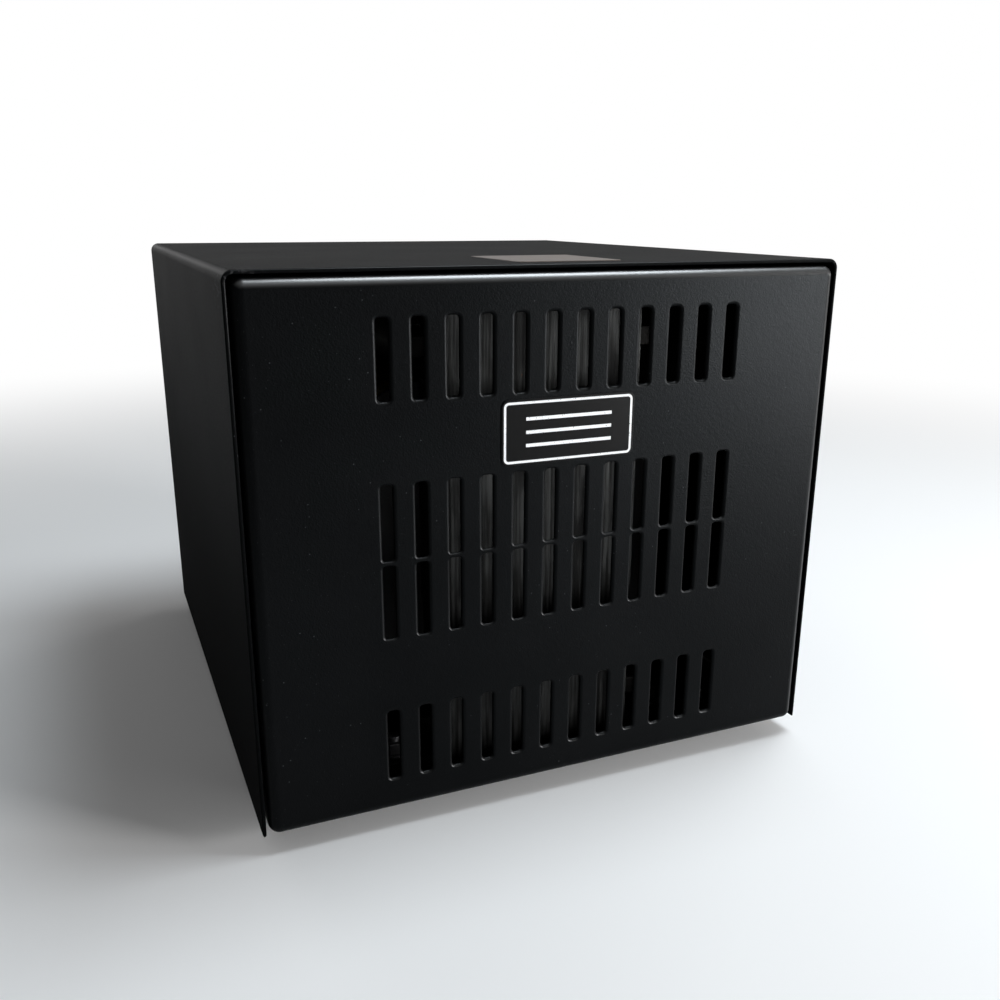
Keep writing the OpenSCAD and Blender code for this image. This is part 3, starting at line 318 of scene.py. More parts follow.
def powder_coat(name, tone, gloss, level=0.055, scuff=None, sheen_corner=(1.0, 1.0), dull=0.0):
    """Satin powder coat: fine orange peel, faint clouding and dust.

    It is scuffed round the place, and as far as the reach, given as scuff. Its bends carry a painted sheen:
    a coat that is strongest where they face up and to the right, towards the lamps, and beyond the x and
    above the z of the corner given for it. Dull is how much rougher it is low down, where it is never wiped.
    """
    f = Finish(name, IOR=1.5, Specular_IOR_Level=level, Specular_Tint=(0.86, 0.94, 1.0))
    f.give(Coat_Roughness=0.34, Coat_IOR=2.2)
    clouds = f.noise(45 * MM, detail=3)
    grain = f.noise(0.55 * MM, detail=1)
    peel = f.noise(2.2 * MM, detail=2)
    specks, motes = f.cells(4.5 * MM).ramp(0.03, 0.07), f.cells(2.3 * MM).ramp(0.03, 0.08)
    dust = (1 - specks).most(0.6 - 0.6 * motes)
    body = f.blend(clouds.ramp(0.3, 0.7), tint(tone, 0.8), tint(tone, 1.25))
    body = f.blend(dust * clouds.ramp(0.35, 0.6) * 0.4, body, (0.1, 0.105, 0.11))
    x, y, z = f.axes()
    roughness = gloss + (grain - 0.5) * 0.16 + (clouds - 0.5) * 0.08
    roughness = roughness + dull * (1 - z.ramp(50 * MM, 190 * MM))
    if scuff:
        centre, reach = scuff
        away = ((x - centre[0]) ** 2 + (y - centre[1]) ** 2 + (z - centre[2]) ** 2) ** 0.5
        flecks = f.noise(1.6 * MM, detail=4, stretch=(1, 4, 1)).ramp(0.56, 0.62)
        rub = (1 - away.ramp(0.3 * reach, reach)) * flecks
        body = f.blend(rub * 0.35, body, (0.12, 0.12, 0.125))
        roughness = roughness + rub * 0.2
    f.relief(grain * 0.8 + peel * 0.5, 0.11 * MM, 0.6)
    # Painted sheen: the coat on the bends is strongest at the top and on the right-hand side, towards the
    # lamps
    side, top = ((a - limit).ramp(-1 * MM, 1 * MM) for a, limit in zip((x, z), sheen_corner))
    painted_light = 0.12 + 0.88 * top.most(0.4 * side)
    return f.give(Base_Color=body, Roughness=roughness, Coat_Weight=f.polish() * painted_light)


def printed_plate(name, tone, ink, trim):
    """Black enamelled plate with a plain unbroken border and three plain stripes."""
    f = Finish(name, IOR=1.5, Specular_IOR_Level=0.08)
    x, _, z = f.axes()
    mid = (PLATE_LO + PLATE_HI) / 2
    half = (PLATE_HI - PLATE_LO) / 2
    corner = trim.plate_corner
    # Distance inside a rectangle with round corners: corner - |max(|p| - half + corner, 0)| - inner part
    dx = abs(x - mid[0]) - float(half[0] - corner)
    dz = abs(z - mid[2]) - float(half[2] - corner)
    outside = (dx.most(0) ** 2 + dz.most(0) ** 2) ** 0.5
    depth = corner - outside - dx.most(dz).least(0)
    blur = 0.12 * MM
    lo, hi = trim.border_gap, trim.border_gap + trim.border_w
    border = depth.ramp(lo - blur, lo + blur) * (1 - depth.ramp(hi - blur, hi + blur))
    pitch = 0.4 * float(half[2])
    lines = 1 - (z - mid[2] + pitch / 2).repeat(pitch).ramp(0.22, 0.28)
    field = 1 - abs(z - mid[2]).ramp(1.45 * pitch, 1.5 * pitch)
    reach = 0.64 * float(half[0])
    field = field * (1 - abs(x - mid[0]).ramp(reach, reach + blur))
    wear = f.noise(0.5 * MM, detail=3).ramp(0.25, 0.4)
    mask = border.most(lines * field) * wear
    body = f.blend(mask, f.blend(f.noise(9 * MM), tint(tone, 0.8), tint(tone, 1.3)), ink)
    f.relief(f.noise(0.5 * MM, detail=1) * 0.4 + mask, 0.03 * MM, 0.6)
    return f.give(Base_Color=body, Roughness=0.38 + mask * 0.2)


def label_film(name, tone):
    """Pale printed film that has yellowed unevenly, with fibres and worn edges."""
    f = Finish(name, IOR=1.45, Specular_IOR_Level=0.22)
    clouds = f.noise(12 * MM, detail=4)
    fibres = f.noise(0.5 * MM, detail=2, stretch=(5, 1, 1))
    body = f.blend(clouds.ramp(0.35, 0.65), tint(tone, 0.86), tint(tone, 1.1))
    body = f.blend(fibres.ramp(0.55, 0.75) * 0.25, body, tint(tone, 0.6))
    f.relief(fibres, 0.02 * MM, 0.5)
    return f.give(Base_Color=body, Roughness=0.46 + (clouds - 0.5) * 0.2)


def bare_metal(name, tone, gloss, brushed=(1, 1, 1), stain=(0.25, 0.2, 0.14)):
    """Plated or turned metal: fine tool marks, longer along the brushed axes, clouds and a thin stain."""
    f = Finish(name, Metallic=1.0)
    marks = f.noise(0.25 * MM, detail=3, stretch=brushed)
    clouds = f.noise(5 * MM, detail=4, rough=0.6)
    body = f.blend(clouds.ramp(0.35, 0.75), tint(tone, 0.78), tint(tone, 1.08))
    body = f.blend(f.noise(1.3 * MM, detail=3, shift=3.1).ramp(0.62, 0.78) * 0.4, body, stain)
    f.relief(marks + clouds * 0.3, 0.02 * MM, 0.5)
    return f.give(Base_Color=body, Roughness=gloss + (marks - 0.5) * 0.25 + (clouds - 0.5) * 0.15)


def moulding(name, tone, gloss):
    """Moulded plastic: a fine spark-eroded grain, faint flow marks and dust."""
    f = Finish(name, IOR=1.5, Specular_IOR_Level=0.4)
    pits = f.noise(0.35 * MM, detail=2)
    flow = f.noise(14 * MM, detail=2, stretch=(1, 1, 2.5))
    body = f.blend(flow.ramp(0.3, 0.7), tint(tone, 0.85), tint(tone, 1.15))
    dust = 1 - f.cells(3.2 * MM).ramp(0.03, 0.09)
    body = f.blend(dust * 0.15, body, (0.2, 0.2, 0.2))
    f.relief(pits, 0.03 * MM, 0.6)
    return f.give(Base_Color=body, Roughness=gloss + (pits - 0.5) * 0.15 + (flow - 0.5) * 0.1)


def rubber(name, tone):
    """Moulded rubber: matt, with bloom in clouds and a coarse grain."""
    f = Finish(name, IOR=1.5, Specular_IOR_Level=0.3)
    bloom = f.noise(4 * MM, detail=4)
    body = f.blend(bloom.ramp(0.45, 0.75) * 0.6, tone, tint(tone, 2.6))
    f.relief(f.noise(0.5 * MM, detail=3), 0.06 * MM, 0.7)
    return f.give(Base_Color=body, Roughness=0.72 + (bloom - 0.5) * 0.2)


def lamination_edges(name, tone):
    """Varnished edges of stacked steel sheets: thin upright lines, blued bands, varnish runs, rust, and
    painted shade along the foot of the stack.
    """
    f = Finish(name, Metallic=0.75)
    lines = f.noise(1.5 * MM, detail=4, rough=0.6, stretch=(1, 40, 40))
    bands = f.noise(5 * MM, detail=3, stretch=(1, 30, 9))
    runs = f.noise(9 * MM, detail=4, stretch=(1, 1, 3.5))
    rust = f.noise(2.4 * MM, detail=5, rough=0.65, stretch=(1, 1, 2))
    body = f.blend(lines.ramp(0.4, 0.62), tint(tone, 0.15), tint(tone, 1.5))
    body = f.blend(bands.ramp(0.5, 0.66) * lines.ramp(0.3, 0.6), body, tint(tone, 2.2))
    body = f.blend(runs.ramp(0.48, 0.66) * 0.75, body, tint(tone, 0.12))
    _, _, z = f.axes()
    # Painted shade: the lowest few millimetres of the stack are darkened, standing in for the shade at its
    # foot
    foot_shade = 1 - (z - CORE_LO[2] + (lines - 0.5) * 0.004).ramp(4 * MM, 7 * MM)
    body = f.blend(foot_shade * 0.9, body, tint(tone, 0.05))
    body = f.blend(rust.ramp(0.7, 0.76) * 0.4, body, (0.09, 0.04, 0.018))
    f.relief(lines + bands * 0.4, 0.08 * MM, 0.8)
    return f.give(Base_Color=body, Roughness=0.4 + runs * 0.3)


def wound_wire(name, tone, pitch):
    """Layers of enamelled wire wound side by side along Y, each turn round on top, with painted shade down
    its sides.
    """
    f = Finish(name, Metallic=0.7, Coat_Roughness=0.15)
    _, y, _ = f.axes()
    turn = y.repeat(pitch)
    round_top = (1 - turn * turn) ** 0.5
    shade = f.noise(3 * MM, detail=3, stretch=(1, 0.3, 1))
    # Painted shade: each turn darkens from its top down into the grooves between turns
    body = f.blend(round_top.ramp(0.1, 0.8), tint(tone, 0.25), tint(tone, 1.0))
    body = f.blend(shade.ramp(0.5, 0.7) * 0.4, body, tint(tone, 1.6))
    f.relief(round_top, 0.4 * pitch, 0.9)
    return f.give(Base_Color=body, Roughness=0.3 + shade * 0.2, Coat_Weight=0.4 + shade * 0.3)


def wrapped_film(name, tone, pitch):
    """Overlapping turns of film or paper wound round a coil, with lifted edges."""
    f = Finish(name, IOR=1.5, Specular_IOR_Level=0.4)
    _, y, z = f.axes()
    lap = (y + z * 0.04).turns(pitch)
    fibres = f.noise(0.6 * MM, detail=3, stretch=(6, 1, 6))
    clouds = f.noise(8 * MM, detail=3)
    body = f.blend(lap.ramp(0.0, 0.12), tint(tone, 0.55), tone)
    body = f.blend(clouds.ramp(0.5, 0.7) * 0.4, body, tint(tone, 0.7))
    body = f.blend(fibres.ramp(0.55, 0.75) * 0.3, body, tint(tone, 1.25))
    f.relief(lap + fibres * 0.2, 0.12 * MM, 0.7)
    return f.give(Base_Color=body, Roughness=0.42 + (fibres - 0.5) * 0.3)


def insulation(name, tone):
    """Extruded lead insulation: smooth and slightly wavy, with handling marks."""
    f = Finish(name, IOR=1.5, Specular_IOR_Level=0.45)
    wave = f.noise(6 * MM, detail=2)
    scuffs = f.noise(0.8 * MM, detail=4).ramp(0.6, 0.7)
    body = f.blend(wave.ramp(0.3, 0.7), tint(tone, 0.8), tint(tone, 1.2))
    body = f.blend(scuffs * 0.2, body, tint(tone, 2.5))
    f.relief(wave + scuffs * 0.1, 0.08 * MM, 0.5)
    return f.give(Base_Color=body, Roughness=0.36 + scuffs * 0.2)


def clear_plastic(name, tone, glow):
    """Tinted translucent plastic with a ribbed back that shows through as faint upright bands, and a painted
    glow: it gives light of its own colour though no lamp is inside.
    """
    f = Finish(name, IOR=1.5, Specular_IOR_Level=0.5, Coat_Roughness=0.08)
    x, _, _ = f.axes()
    ribs = x.repeat(1.6 * MM).ramp(0.2, 0.9)
    clouds = f.noise(5 * MM, detail=2)
    body = f.blend(ribs * 0.5 + clouds * 0.3, tint(tone, 1.3), tint(tone, 0.6))
    f.relief(clouds, 0.03 * MM, 0.4)
    # Painted glow: the plastic gives light of its own, as if lit from inside
    painted_light = f.blend(ribs, tint(tone, glow), tint(tone, glow * 0.5))
    return f.give(
        Base_Color=body, Roughness=0.16 + clouds * 0.1, Coat_Weight=0.4 + clouds * 0.2,
        Emission_Color=painted_light, Emission_Strength=1.0,
    )


def pale_floor(name, ahead, clear, far):
    """Pale matt floor that keeps shadows near the object and runs into the white background."""
    f = Finish(name, Roughness=0.9, Specular_IOR_Level=0.1)
    x, y, _ = f.axes()
    distance = (x * x + y * y) ** 0.5
    f.give(Base_Color=f.blend(f.noise(0.4), (0.86, 0.86, 0.86), (0.9, 0.9, 0.9)))
    white = f.add("ShaderNodeEmission", Color=(1, 1, 1), Strength=1.0)
    shown, mirrored = f.background_rays(ahead)
    factor = (distance.ramp(clear, far) * shown).most(distance.ramp(3 * clear, 3 * far) * mirrored)
    lit = Signal(f, f.shader.outputs[0])
    both = f.add("ShaderNodeMixShader", **{"0": factor, "1": lit, "2": white})
    f.feed(f.nodes["Material Output"].inputs["Surface"], both)
    return f.material


# Meshes


def weld(points, faces):
    """Merges points that coincide. Returns the points kept, the faces and each kept point's first index."""
    keys = np.round(points / SAME).astype(np.int64)
    _, first, index = np.unique(keys, axis=0, return_index=True, return_inverse=True)
    index = index.reshape(-1)
    return points[first], [index[f] for f in faces], first


def slot_of(node):
    """The record's material slot of a CAD node."""
    return next(s["material_slot"] for s in frame["record"]["subparts"] if s["node"] == node)


def put(name, mesh, material, node):
    """Puts a smooth-shaded mesh at the origin, where it stands for a CAD node and rides on its body."""
    mesh.polygons.foreach_set("use_smooth", np.ones(len(mesh.polygons), bool))
    mesh.materials.clear()
    mesh.materials.append(material)
    made = bpy.data.objects.new(name, mesh)
    bpy.context.scene.collection.objects.link(made)
    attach(made, frame["nodes"][node]["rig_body"])
    slot_of(node)
    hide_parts(node)
    return made


def piece(name, points, faces, material, node, normals=None):
    """A new mesh that stands for a CAD node."""
    mesh = bpy.data.meshes.new(name)
    mesh.from_pydata(points.tolist(), [], [list(map(int, f)) for f in faces])
    mesh.update()
    made = put(name, mesh, material, node)
    if normals is not None:
        mesh.normals_split_custom_set_from_vertices(normals.tolist())
    return made


def lattice(rows, columns):
    """Quads of a grid of points stored row by row."""
    i, j = np.meshgrid(np.arange(rows - 1), np.arange(columns - 1), indexing="ij")
    a = (i * columns + j).ravel()
    return np.stack([a, a + 1, a + columns + 1, a + columns], axis=1)


def ring_quads(rings, around):
    """Quads between rings of points, each ring closed on itself."""
    i, j = np.meshgrid(np.arange(rings - 1), np.arange(around), indexing="ij")
    k = (j + 1) % around
    low, high = i * around, (i + 1) * around
    return np.stack([low + j, low + k, high + k, high + j], axis=2).reshape(-1, 4)


def capped(rings):
    """Quads between rings of points, and a face over the first and over the last ring."""
    around = np.arange(rings.shape[1])
    return [*ring_quads(*rings.shape[:2]), around[::-1], around + (len(rings) - 1) * len(around)]


def rim(half_w, half_h, radius, steps=6):
    """Points and outward normals round a rectangle with round corners, anticlockwise from the right.

    Each corner is a quarter circle: centre + radius (cos t, sin t), for t over the corner's 90 degrees.
    """
    t = np.linspace(0, math.pi / 2, steps + 1)
    turns = np.concatenate([t + k * math.pi / 2 for k in range(4)])
    signs = np.repeat([[1, 1], [-1, 1], [-1, -1], [1, -1]], steps + 1, axis=0)
    normals = np.stack([np.cos(turns), np.sin(turns)], axis=1)
    return signs * [half_w - radius, half_h - radius] + radius * normals, normals


def cell_rim(half_w, half_h, radius, margin_x, margin_z, steps=6):
    """For each point of rim(), the point of the surrounding rectangle that it is joined to.

    Over a corner's first half the point runs up the side to the corner, and then along the top.
    """
    t = np.linspace(0, 2, steps + 1)
    x = np.where(t <= 1, half_w + margin_x, half_w + margin_x - (t - 1) * (margin_x + radius))
    z = np.where(t >= 1, half_h + margin_z, half_h - radius + t * (margin_z + radius))
    one = np.stack([x, z], axis=1)
    return np.concatenate([one, one[::-1] * [-1, 1], one * [-1, -1], one[::-1] * [1, -1]])


class Hole:
    """A punched hole in a flat face: centre, half sizes, corner radius, cell margins and lip radius."""

    def __init__(self, centre, half, radius, margin, lip):
        self.centre = np.array(centre)
        self.half = np.array(half)
        self.radius = radius
        self.margin = np.array(margin)
        # A lip stays inside its cell on each side
        self.lip = np.minimum(lip, 0.95 * self.margin)

    def lips(self, normal):
        """The lip's radius where the outline faces that way."""
        return (normal ** 2 @ self.lip)[:, None]

    def lines(self, axis):
        cell = cell_rim(*self.half, self.radius, *self.margin)
        return np.unique(np.round(self.centre[axis] + cell[:, axis], 9))

    def covers(self, points):
        return np.all(np.abs(points - self.centre) < self.half + self.margin, axis=1)


def bent_lines(lo, hi, bends, flat, steps=6):
    """Lines across one axis of a folded box: the flat places, then the bend's tangents up to 45 degrees."""
    t = np.tan(np.linspace(0, math.pi / 4, steps + 1))[1:]
    places = np.unique(np.round(np.concatenate([[lo, hi], flat]), 9))
    places = places[(places >= lo - 1e-9) & (places <= hi + 1e-9)]
    tilts = np.zeros(len(places))
    if bends[0]:
        places, tilts = np.concatenate([np.full(steps, lo), places]), np.concatenate([-t[::-1], tilts])
    if bends[1]:
        places, tilts = np.concatenate([places, np.full(steps, hi)]), np.concatenate([tilts, t])
    return places, tilts


def folded_face(lo, hi, axis, sign, bends, flat, holes=(), keep=None, edge=0.0):
    """One face of a folded box with half of each bend beside it, as points on the core box and directions.

    A point at height r over the core box is core + r * direction. On the flat the direction is the
    face's own axis; in a bend it turns by up to 45 degrees, and at a corner both ways, as on a sphere.
    """
    b, c = ACROSS[axis]
    turn = slice(None, None, -1) if (sign < 0) == (axis == 1) else slice(None)
    pb, tb = bent_lines(lo[b], hi[b], bends[b], np.concatenate([flat[b], *[h.lines(0) for h in holes]]))
    pc, tc = bent_lines(lo[c], hi[c], bends[c], np.concatenate([flat[c], *[h.lines(1) for h in holes]]))
    core, way = np.zeros((len(pb), len(pc), 3)), np.zeros((len(pb), len(pc), 3))
    core[..., b], core[..., c], core[..., axis] = pb[:, None], pc[None, :], (lo, hi)[sign > 0][axis]
    way[..., b], way[..., c], way[..., axis] = tb[:, None], tc[None, :], sign
    core, way = core.reshape(-1, 3), way.reshape(-1, 3)
    way = way / np.linalg.norm(way, axis=1, keepdims=True)
    quads = lattice(len(pb), len(pc))[:, turn]
    middle = core[quads].mean(1)
    flat_ones = np.all(np.isclose(np.abs(way[quads][..., axis]), 1), axis=1)
    kept = np.ones(len(quads), bool)
    for h in holes:
        kept &= ~(flat_ones & h.covers(middle[:, [b, c]]))
    if keep is not None:
        kept &= keep(middle)
    parts = [(core, way, quads[kept], np.full((len(core), 1), edge))]
    # Round each hole, quads from its cell's outline to the lip's
    for h in holes:
        contour, normal = rim(*h.half, h.radius)
        inner = h.centre + contour + normal * h.lips(normal)
        outer = h.centre + cell_rim(*h.half, h.radius, *h.margin)
        both = np.zeros((2 * len(inner), 3))
        both[:, b], both[:, c] = np.concatenate([outer, inner]).T
        both[:, axis] = core[0, axis]
        face_way = np.zeros_like(both)
        face_way[:, axis] = sign
        around = ring_quads(2, len(inner))[:, ::-1][:, turn]
        parts.append((both, face_way, around, np.tile(h.lips(normal), (2, 1))))
    return parts


def folded_sheet(parts, bend, sheet, steps=5):
    """Points, normals and quads of bent sheet metal with rounded free edges.

    The outside is core + bend * direction and the inside core + (bend - sheet) * direction. Round each
    free edge runs a profile: from the outside, a quarter circle of the point's edge radius e, straight
    through the sheet, a quarter circle of what the sheet leaves for it, and back over the inside. It is
    swept along the edge's outward direction m: P = outside + m e sin(a) - n e (1 - cos(a)).
    """
    starts = np.cumsum([0] + [len(p[0]) for p in parts])
    core = np.concatenate([p[0] for p in parts])
    way = np.concatenate([p[1] for p in parts])
    soft = np.concatenate([p[3] for p in parts])
    quads = np.concatenate([p[2] + s for p, s in zip(parts, starts)])
    outside, quads, first = weld(core + bend * way, quads)
    core, way, soft, quads = core[first], way[first], soft[first], np.array(quads)
    # Quads that a weld squeezed flat are dropped
    quads = quads[[len(set(q)) == 4 for q in quads.tolist()]]
    inside = core + (bend - sheet) * way
    count = len(outside)
    edges = np.concatenate([quads[:, [k, (k + 1) % 4]] for k in range(4)])
    # A free edge has no other quad that runs along it the other way
    free = edges[~np.isin(edges @ [count, 1], edges @ [1, count])]
    along = outside[free[:, 1]] - outside[free[:, 0]]
    along /= np.linalg.norm(along, axis=1, keepdims=True)
    out = np.cross(along, way[free].mean(1))
    out /= np.linalg.norm(out, axis=1, keepdims=True)
    total = np.zeros_like(outside)
    for end in free.T:
        np.add.at(total, end, out)
    dot = (total ** 2).sum(1, keepdims=True) / 2
    mitre = np.divide(total, dot, out=np.zeros_like(total), where=dot > 1e-9)
    rims = np.unique(free)
    slot = np.full(count, -1)
    slot[rims] = np.arange(len(rims))
    a = np.linspace(0, math.pi / 2, steps + 1)[:, None, None]
    n, m, o, e = way[rims], mitre[rims], outside[rims], soft[rims]
    back = 0.98 * np.minimum(e, sheet - e)
    reach = np.concatenate([e * np.sin(a), e - back * (1 - np.sin(a[::-1])), 0 * e[None]])
    fall = 1 - np.cos(a)
    sink = np.concatenate([e * fall, sheet - back * fall[::-1], sheet + 0 * e[None]])
    lean = np.concatenate([np.cos(a), -np.cos(a[::-1]), [[[-1]]]])
    push = np.concatenate([np.sin(a), np.sin(a[::-1]), [[[0]]]])
    unit = m / np.maximum(np.linalg.norm(m, axis=1, keepdims=True), 1e-9)
    rows = o + m * reach - n * sink
    row_normals = n * lean + unit * push
    rows[-1] = inside[rims]
    step = len(rims)
    strip = []
    for k in range(len(reach) - 1):
        p, q = 2 * count + k * step + slot[free.T]
        strip.append(np.stack([q, p, p + step, q + step], axis=1))
    points = np.concatenate([outside, inside, rows.reshape(-1, 3)])
    normals = np.concatenate([way, -way, row_normals.reshape(-1, 3)])
    faces = np.concatenate([quads, quads[:, ::-1] + count, *strip])
    points, faces, first = weld(points, faces)
    # A quad with an edge squeezed to a point becomes a triangle, and one squeezed to a line goes
    apart = [f != np.roll(f, 1) for f in faces]
    return points, normals[first], [f[a] for f, a in zip(faces, apart) if a.sum() > 2]


def slot_rows(case):
    """Heights of the middles of the four rows of slots, from the top."""
    field = CASE_HI[2] - CASE_LO[2] - case.margin_top - case.margin_low
    middle = CASE_HI[2] - case.margin_top - field / 2
    inner = (case.slot_l + case.slot_web) / 2
    outer = (field - case.slot_l) / 2
    return middle + np.array([outer, inner, -inner, -outer])


def slot_holes(case, rows):
    """Slots of those rows, each in a cell as wide as the pitch."""
    margin = (case.slot_pitch - case.slot_w) / 2, case.slot_web / 2
    xs = (np.arange(case.slot_count) - (case.slot_count - 1) / 2) * case.slot_pitch
    half = case.slot_w / 2, case.slot_l / 2
    middle = sorted(rows, key=lambda z: abs(z - np.mean(rows)))[:2] if len(rows) > 1 else []
    return [
        Hole((x, z), half, case.slot_corner, margin if z in middle else (margin[0], 2 * MM), case.slot_lip)
        for z in rows for x in xs
    ]


def panel_openings(case):
    """Openings of the rear panel that its pieces fill, sunk under their rims."""
    cell, under = 1.5 * MM, 1.9 * MM
    found = []
    for node in ("inlet_housing", "switch_housing", "outlet_housings"):
        for lo, hi in solids(node):
            half = (hi - lo) / 2 - under
            if node == "inlet_housing":
                half[0] = half[2]
            found.append(Hole(((lo + hi) / 2)[[0, 2]], half[[0, 2]], 0.5 * MM, (cell, cell), case.edge))
    return found


def merged(mesh):
    """A BMesh of a mesh, with coinciding points merged."""
    bm = bmesh.new()
    bm.from_mesh(mesh)
    bmesh.ops.remove_doubles(bm, verts=bm.verts, dist=SAME)
    return bm


def solids(node):
    """Lowest and highest corners of each separate solid in a CAD node, by walking shared corners."""
    bm = merged(frame["nodes"][node].data)
    found, seen = [], set()
    for start in bm.verts:
        if start.index in seen:
            continue
        stack, group = [start], []
        seen.add(start.index)
        while stack:
            v = stack.pop()
            group.append(v.co[:])
            for e in v.link_edges:
                o = e.other_vert(v)
                if o.index not in seen:
                    seen.add(o.index)
                    stack.append(o)
        group = np.array(group)
        found.append((group.min(0), group.max(0)))
    bm.free()
    return found


def soften(material, width, *nodes):
    """Copies of CAD nodes whose sharp edges are rounded, standing for the nodes."""
    for node in nodes:
        mesh = frame["nodes"][node].data.copy()
        bm = merged(mesh)
        bmesh.ops.dissolve_limit(bm, angle_limit=FLAT_ANGLE, verts=bm.verts, edges=bm.edges)
        bm.to_mesh(mesh)
        bm.free()
        mesh.name = "soft_" + node
        bevel = put("soft_" + node, mesh, material, node).modifiers.new("rounding", "BEVEL")
        bevel.width, bevel.segments, bevel.limit_method = width, 3, "ANGLE"
        bevel.angle_limit = SHARP_ANGLE
        bevel.harden_normals = True


def dress(material, *nodes):
    """Gives CAD nodes that stay a better material."""
    for node in nodes:
        mesh = frame["nodes"][node].data
        mesh.materials.clear()
        mesh.materials.append(material)


# Pieces


class TRANSFORMER_OT_chassis(bpy.types.Operator):
    """Front panel with its slots, base and rear panel, folded from one sheet"""

    bl_idname = "transformer.chassis"
    bl_label = "Chassis"

    def execute(self, context):
        case, looks = context.scene.case_sizes, context.scene.finishes
        r, e = case.tray_bend, case.edge
        lo, hi = TRAY_LO + r, TRAY_HI - r
        front, rear = TRAY_LO[1] + case.flange - e, TRAY_HI[1] - case.flange + e
        ledge = TRAY_LO[2] + case.base_flange - e
        flat = ([], [front, rear], [ledge])
        rows = slot_rows(case)

        def kept(middle):
            between = (middle[:, 1] > front) & (middle[:, 1] < rear)
            return ~(between & (middle[:, 2] > ledge))

        bends = ((True, True), (True, True), (True, True))
        parts = []
        for axis in range(3):
            for sign in (-1, 1):
                holes = ()
                if axis == 1:
                    holes = slot_holes(case, rows if sign < 0 else rows[:1] - case.rear_drop)
                    holes += panel_openings(case) if sign > 0 else []
                parts += folded_face(lo, hi, axis, sign, bends, flat, holes, kept, e)
        points, normals, faces = folded_sheet(parts, r, case.sheet)
        coat = powder_coat("black_powder_coat", looks.coat, looks.coat_gloss, sheen_corner=(hi[0], hi[2]))
        piece("folded_chassis", points, faces, coat, "chassis", normals)
        return {"FINISHED"}


class TRANSFORMER_OT_cover(bpy.types.Operator):
    """Top and two sides folded from one sheet, with returns behind the rear panel"""

    bl_idname = "transformer.cover"
    bl_label = "Cover"

    def execute(self, context):
        case, looks = context.scene.case_sizes, context.scene.finishes
        r, e = case.cover_bend, case.edge
        lo, hi = CASE_LO + [r, e, e], CASE_HI - r
        opening = CASE_HI[0] - case.return_w + e
        ceiling = CASE_HI[2] - case.return_w + e
        flat = ([-opening, opening], [], [ceiling])

        def kept(middle):
            inside = (np.abs(middle[:, 0]) < opening) & (middle[:, 2] < ceiling)
            return ~(np.isclose(middle[:, 1], hi[1]) & inside)

        bends = ((True, True), (False, True), (False, True))
        parts = []
        for axis, sign in ((0, -1), (0, 1), (1, 1), (2, 1)):
            parts += folded_face(lo, hi, axis, sign, bends, flat, (), kept if axis == 1 else None, e)
        points, normals, faces = folded_sheet(parts, r, case.sheet)
        scuff = (CASE_LO[0], CASE_LO[1] + 12 * MM, CASE_HI[2]), 20 * MM
        name, gloss = "black_powder_coat_cover", looks.cover_gloss
        coat = powder_coat(name, looks.coat, gloss, level=0.029, scuff=scuff, dull=0.38)
        piece("folded_cover", points, faces, coat, "cover", normals)
        return {"FINISHED"}


def flat_plate(name, node, lo, hi, corner, edge, d, sign, material, steps=4):
    """A thin plate with round corners and a rounded front edge, facing along axis d with that sign.

    Rings of rim() points: at the back on the full outline, forward to the edge's start, and then
    inset by e (1 - cos a) and forward by e sin a, closed by one flat face in front and one behind.
    """
    b, c = ACROSS[d]
    contour, normal = rim((hi[b] - lo[b]) / 2, (hi[c] - lo[c]) / 2, corner, 8)
    thick = hi[d] - lo[d]
    e = min(edge, 0.9 * thick)
    a = np.linspace(0, math.pi / 2, steps + 1)
    inset = np.concatenate([[0], e * (1 - np.cos(a))])
    rise = np.concatenate([[0], thick - e + e * np.sin(a)])
    rings = np.zeros((len(inset), len(contour), 3))
    flat = contour[None] - normal[None] * inset[:, None, None] + [(lo[b] + hi[b]) / 2, (lo[c] + hi[c]) / 2]
    rings[..., b], rings[..., c] = flat[..., 0], flat[..., 1]
    rings[..., d] = (lo[d] + rise if sign > 0 else hi[d] - rise)[:, None]
    turn = 1 if (sign < 0) == (d == 1) else -1
    faces = [f[::turn] for f in capped(rings)]
    made = piece(name, rings.reshape(-1, 3), faces, material, node)
    made.modifiers.new("flat_faces", "WEIGHTED_NORMAL").weight = 100


class TRANSFORMER_OT_plate_and_label(bpy.types.Operator):
    """Striped plate on the front panel and blank label on the top"""

    bl_idname = "transformer.plate_and_label"
    bl_label = "Plate and label"

    def execute(self, context):
        trim, looks = context.scene.trim_sizes, context.scene.finishes
        enamel = printed_plate("black_enamel_plate", looks.coat, looks.print_tone, trim)
        film = label_film("pale_label_film", looks.label_tone)
        for name, node, lo, hi, corner, axis, sign, material in (
            ("blank_plate", "front_plate", PLATE_LO, PLATE_HI, trim.plate_corner, 1, -1, enamel),
            ("blank_label", "top_label", LABEL_LO, LABEL_HI, trim.label_corner, 2, 1, film),
        ):
            flat_plate(name, node, lo, hi, corner, trim.plate_edge, axis, sign, material)
        return {"FINISHED"}


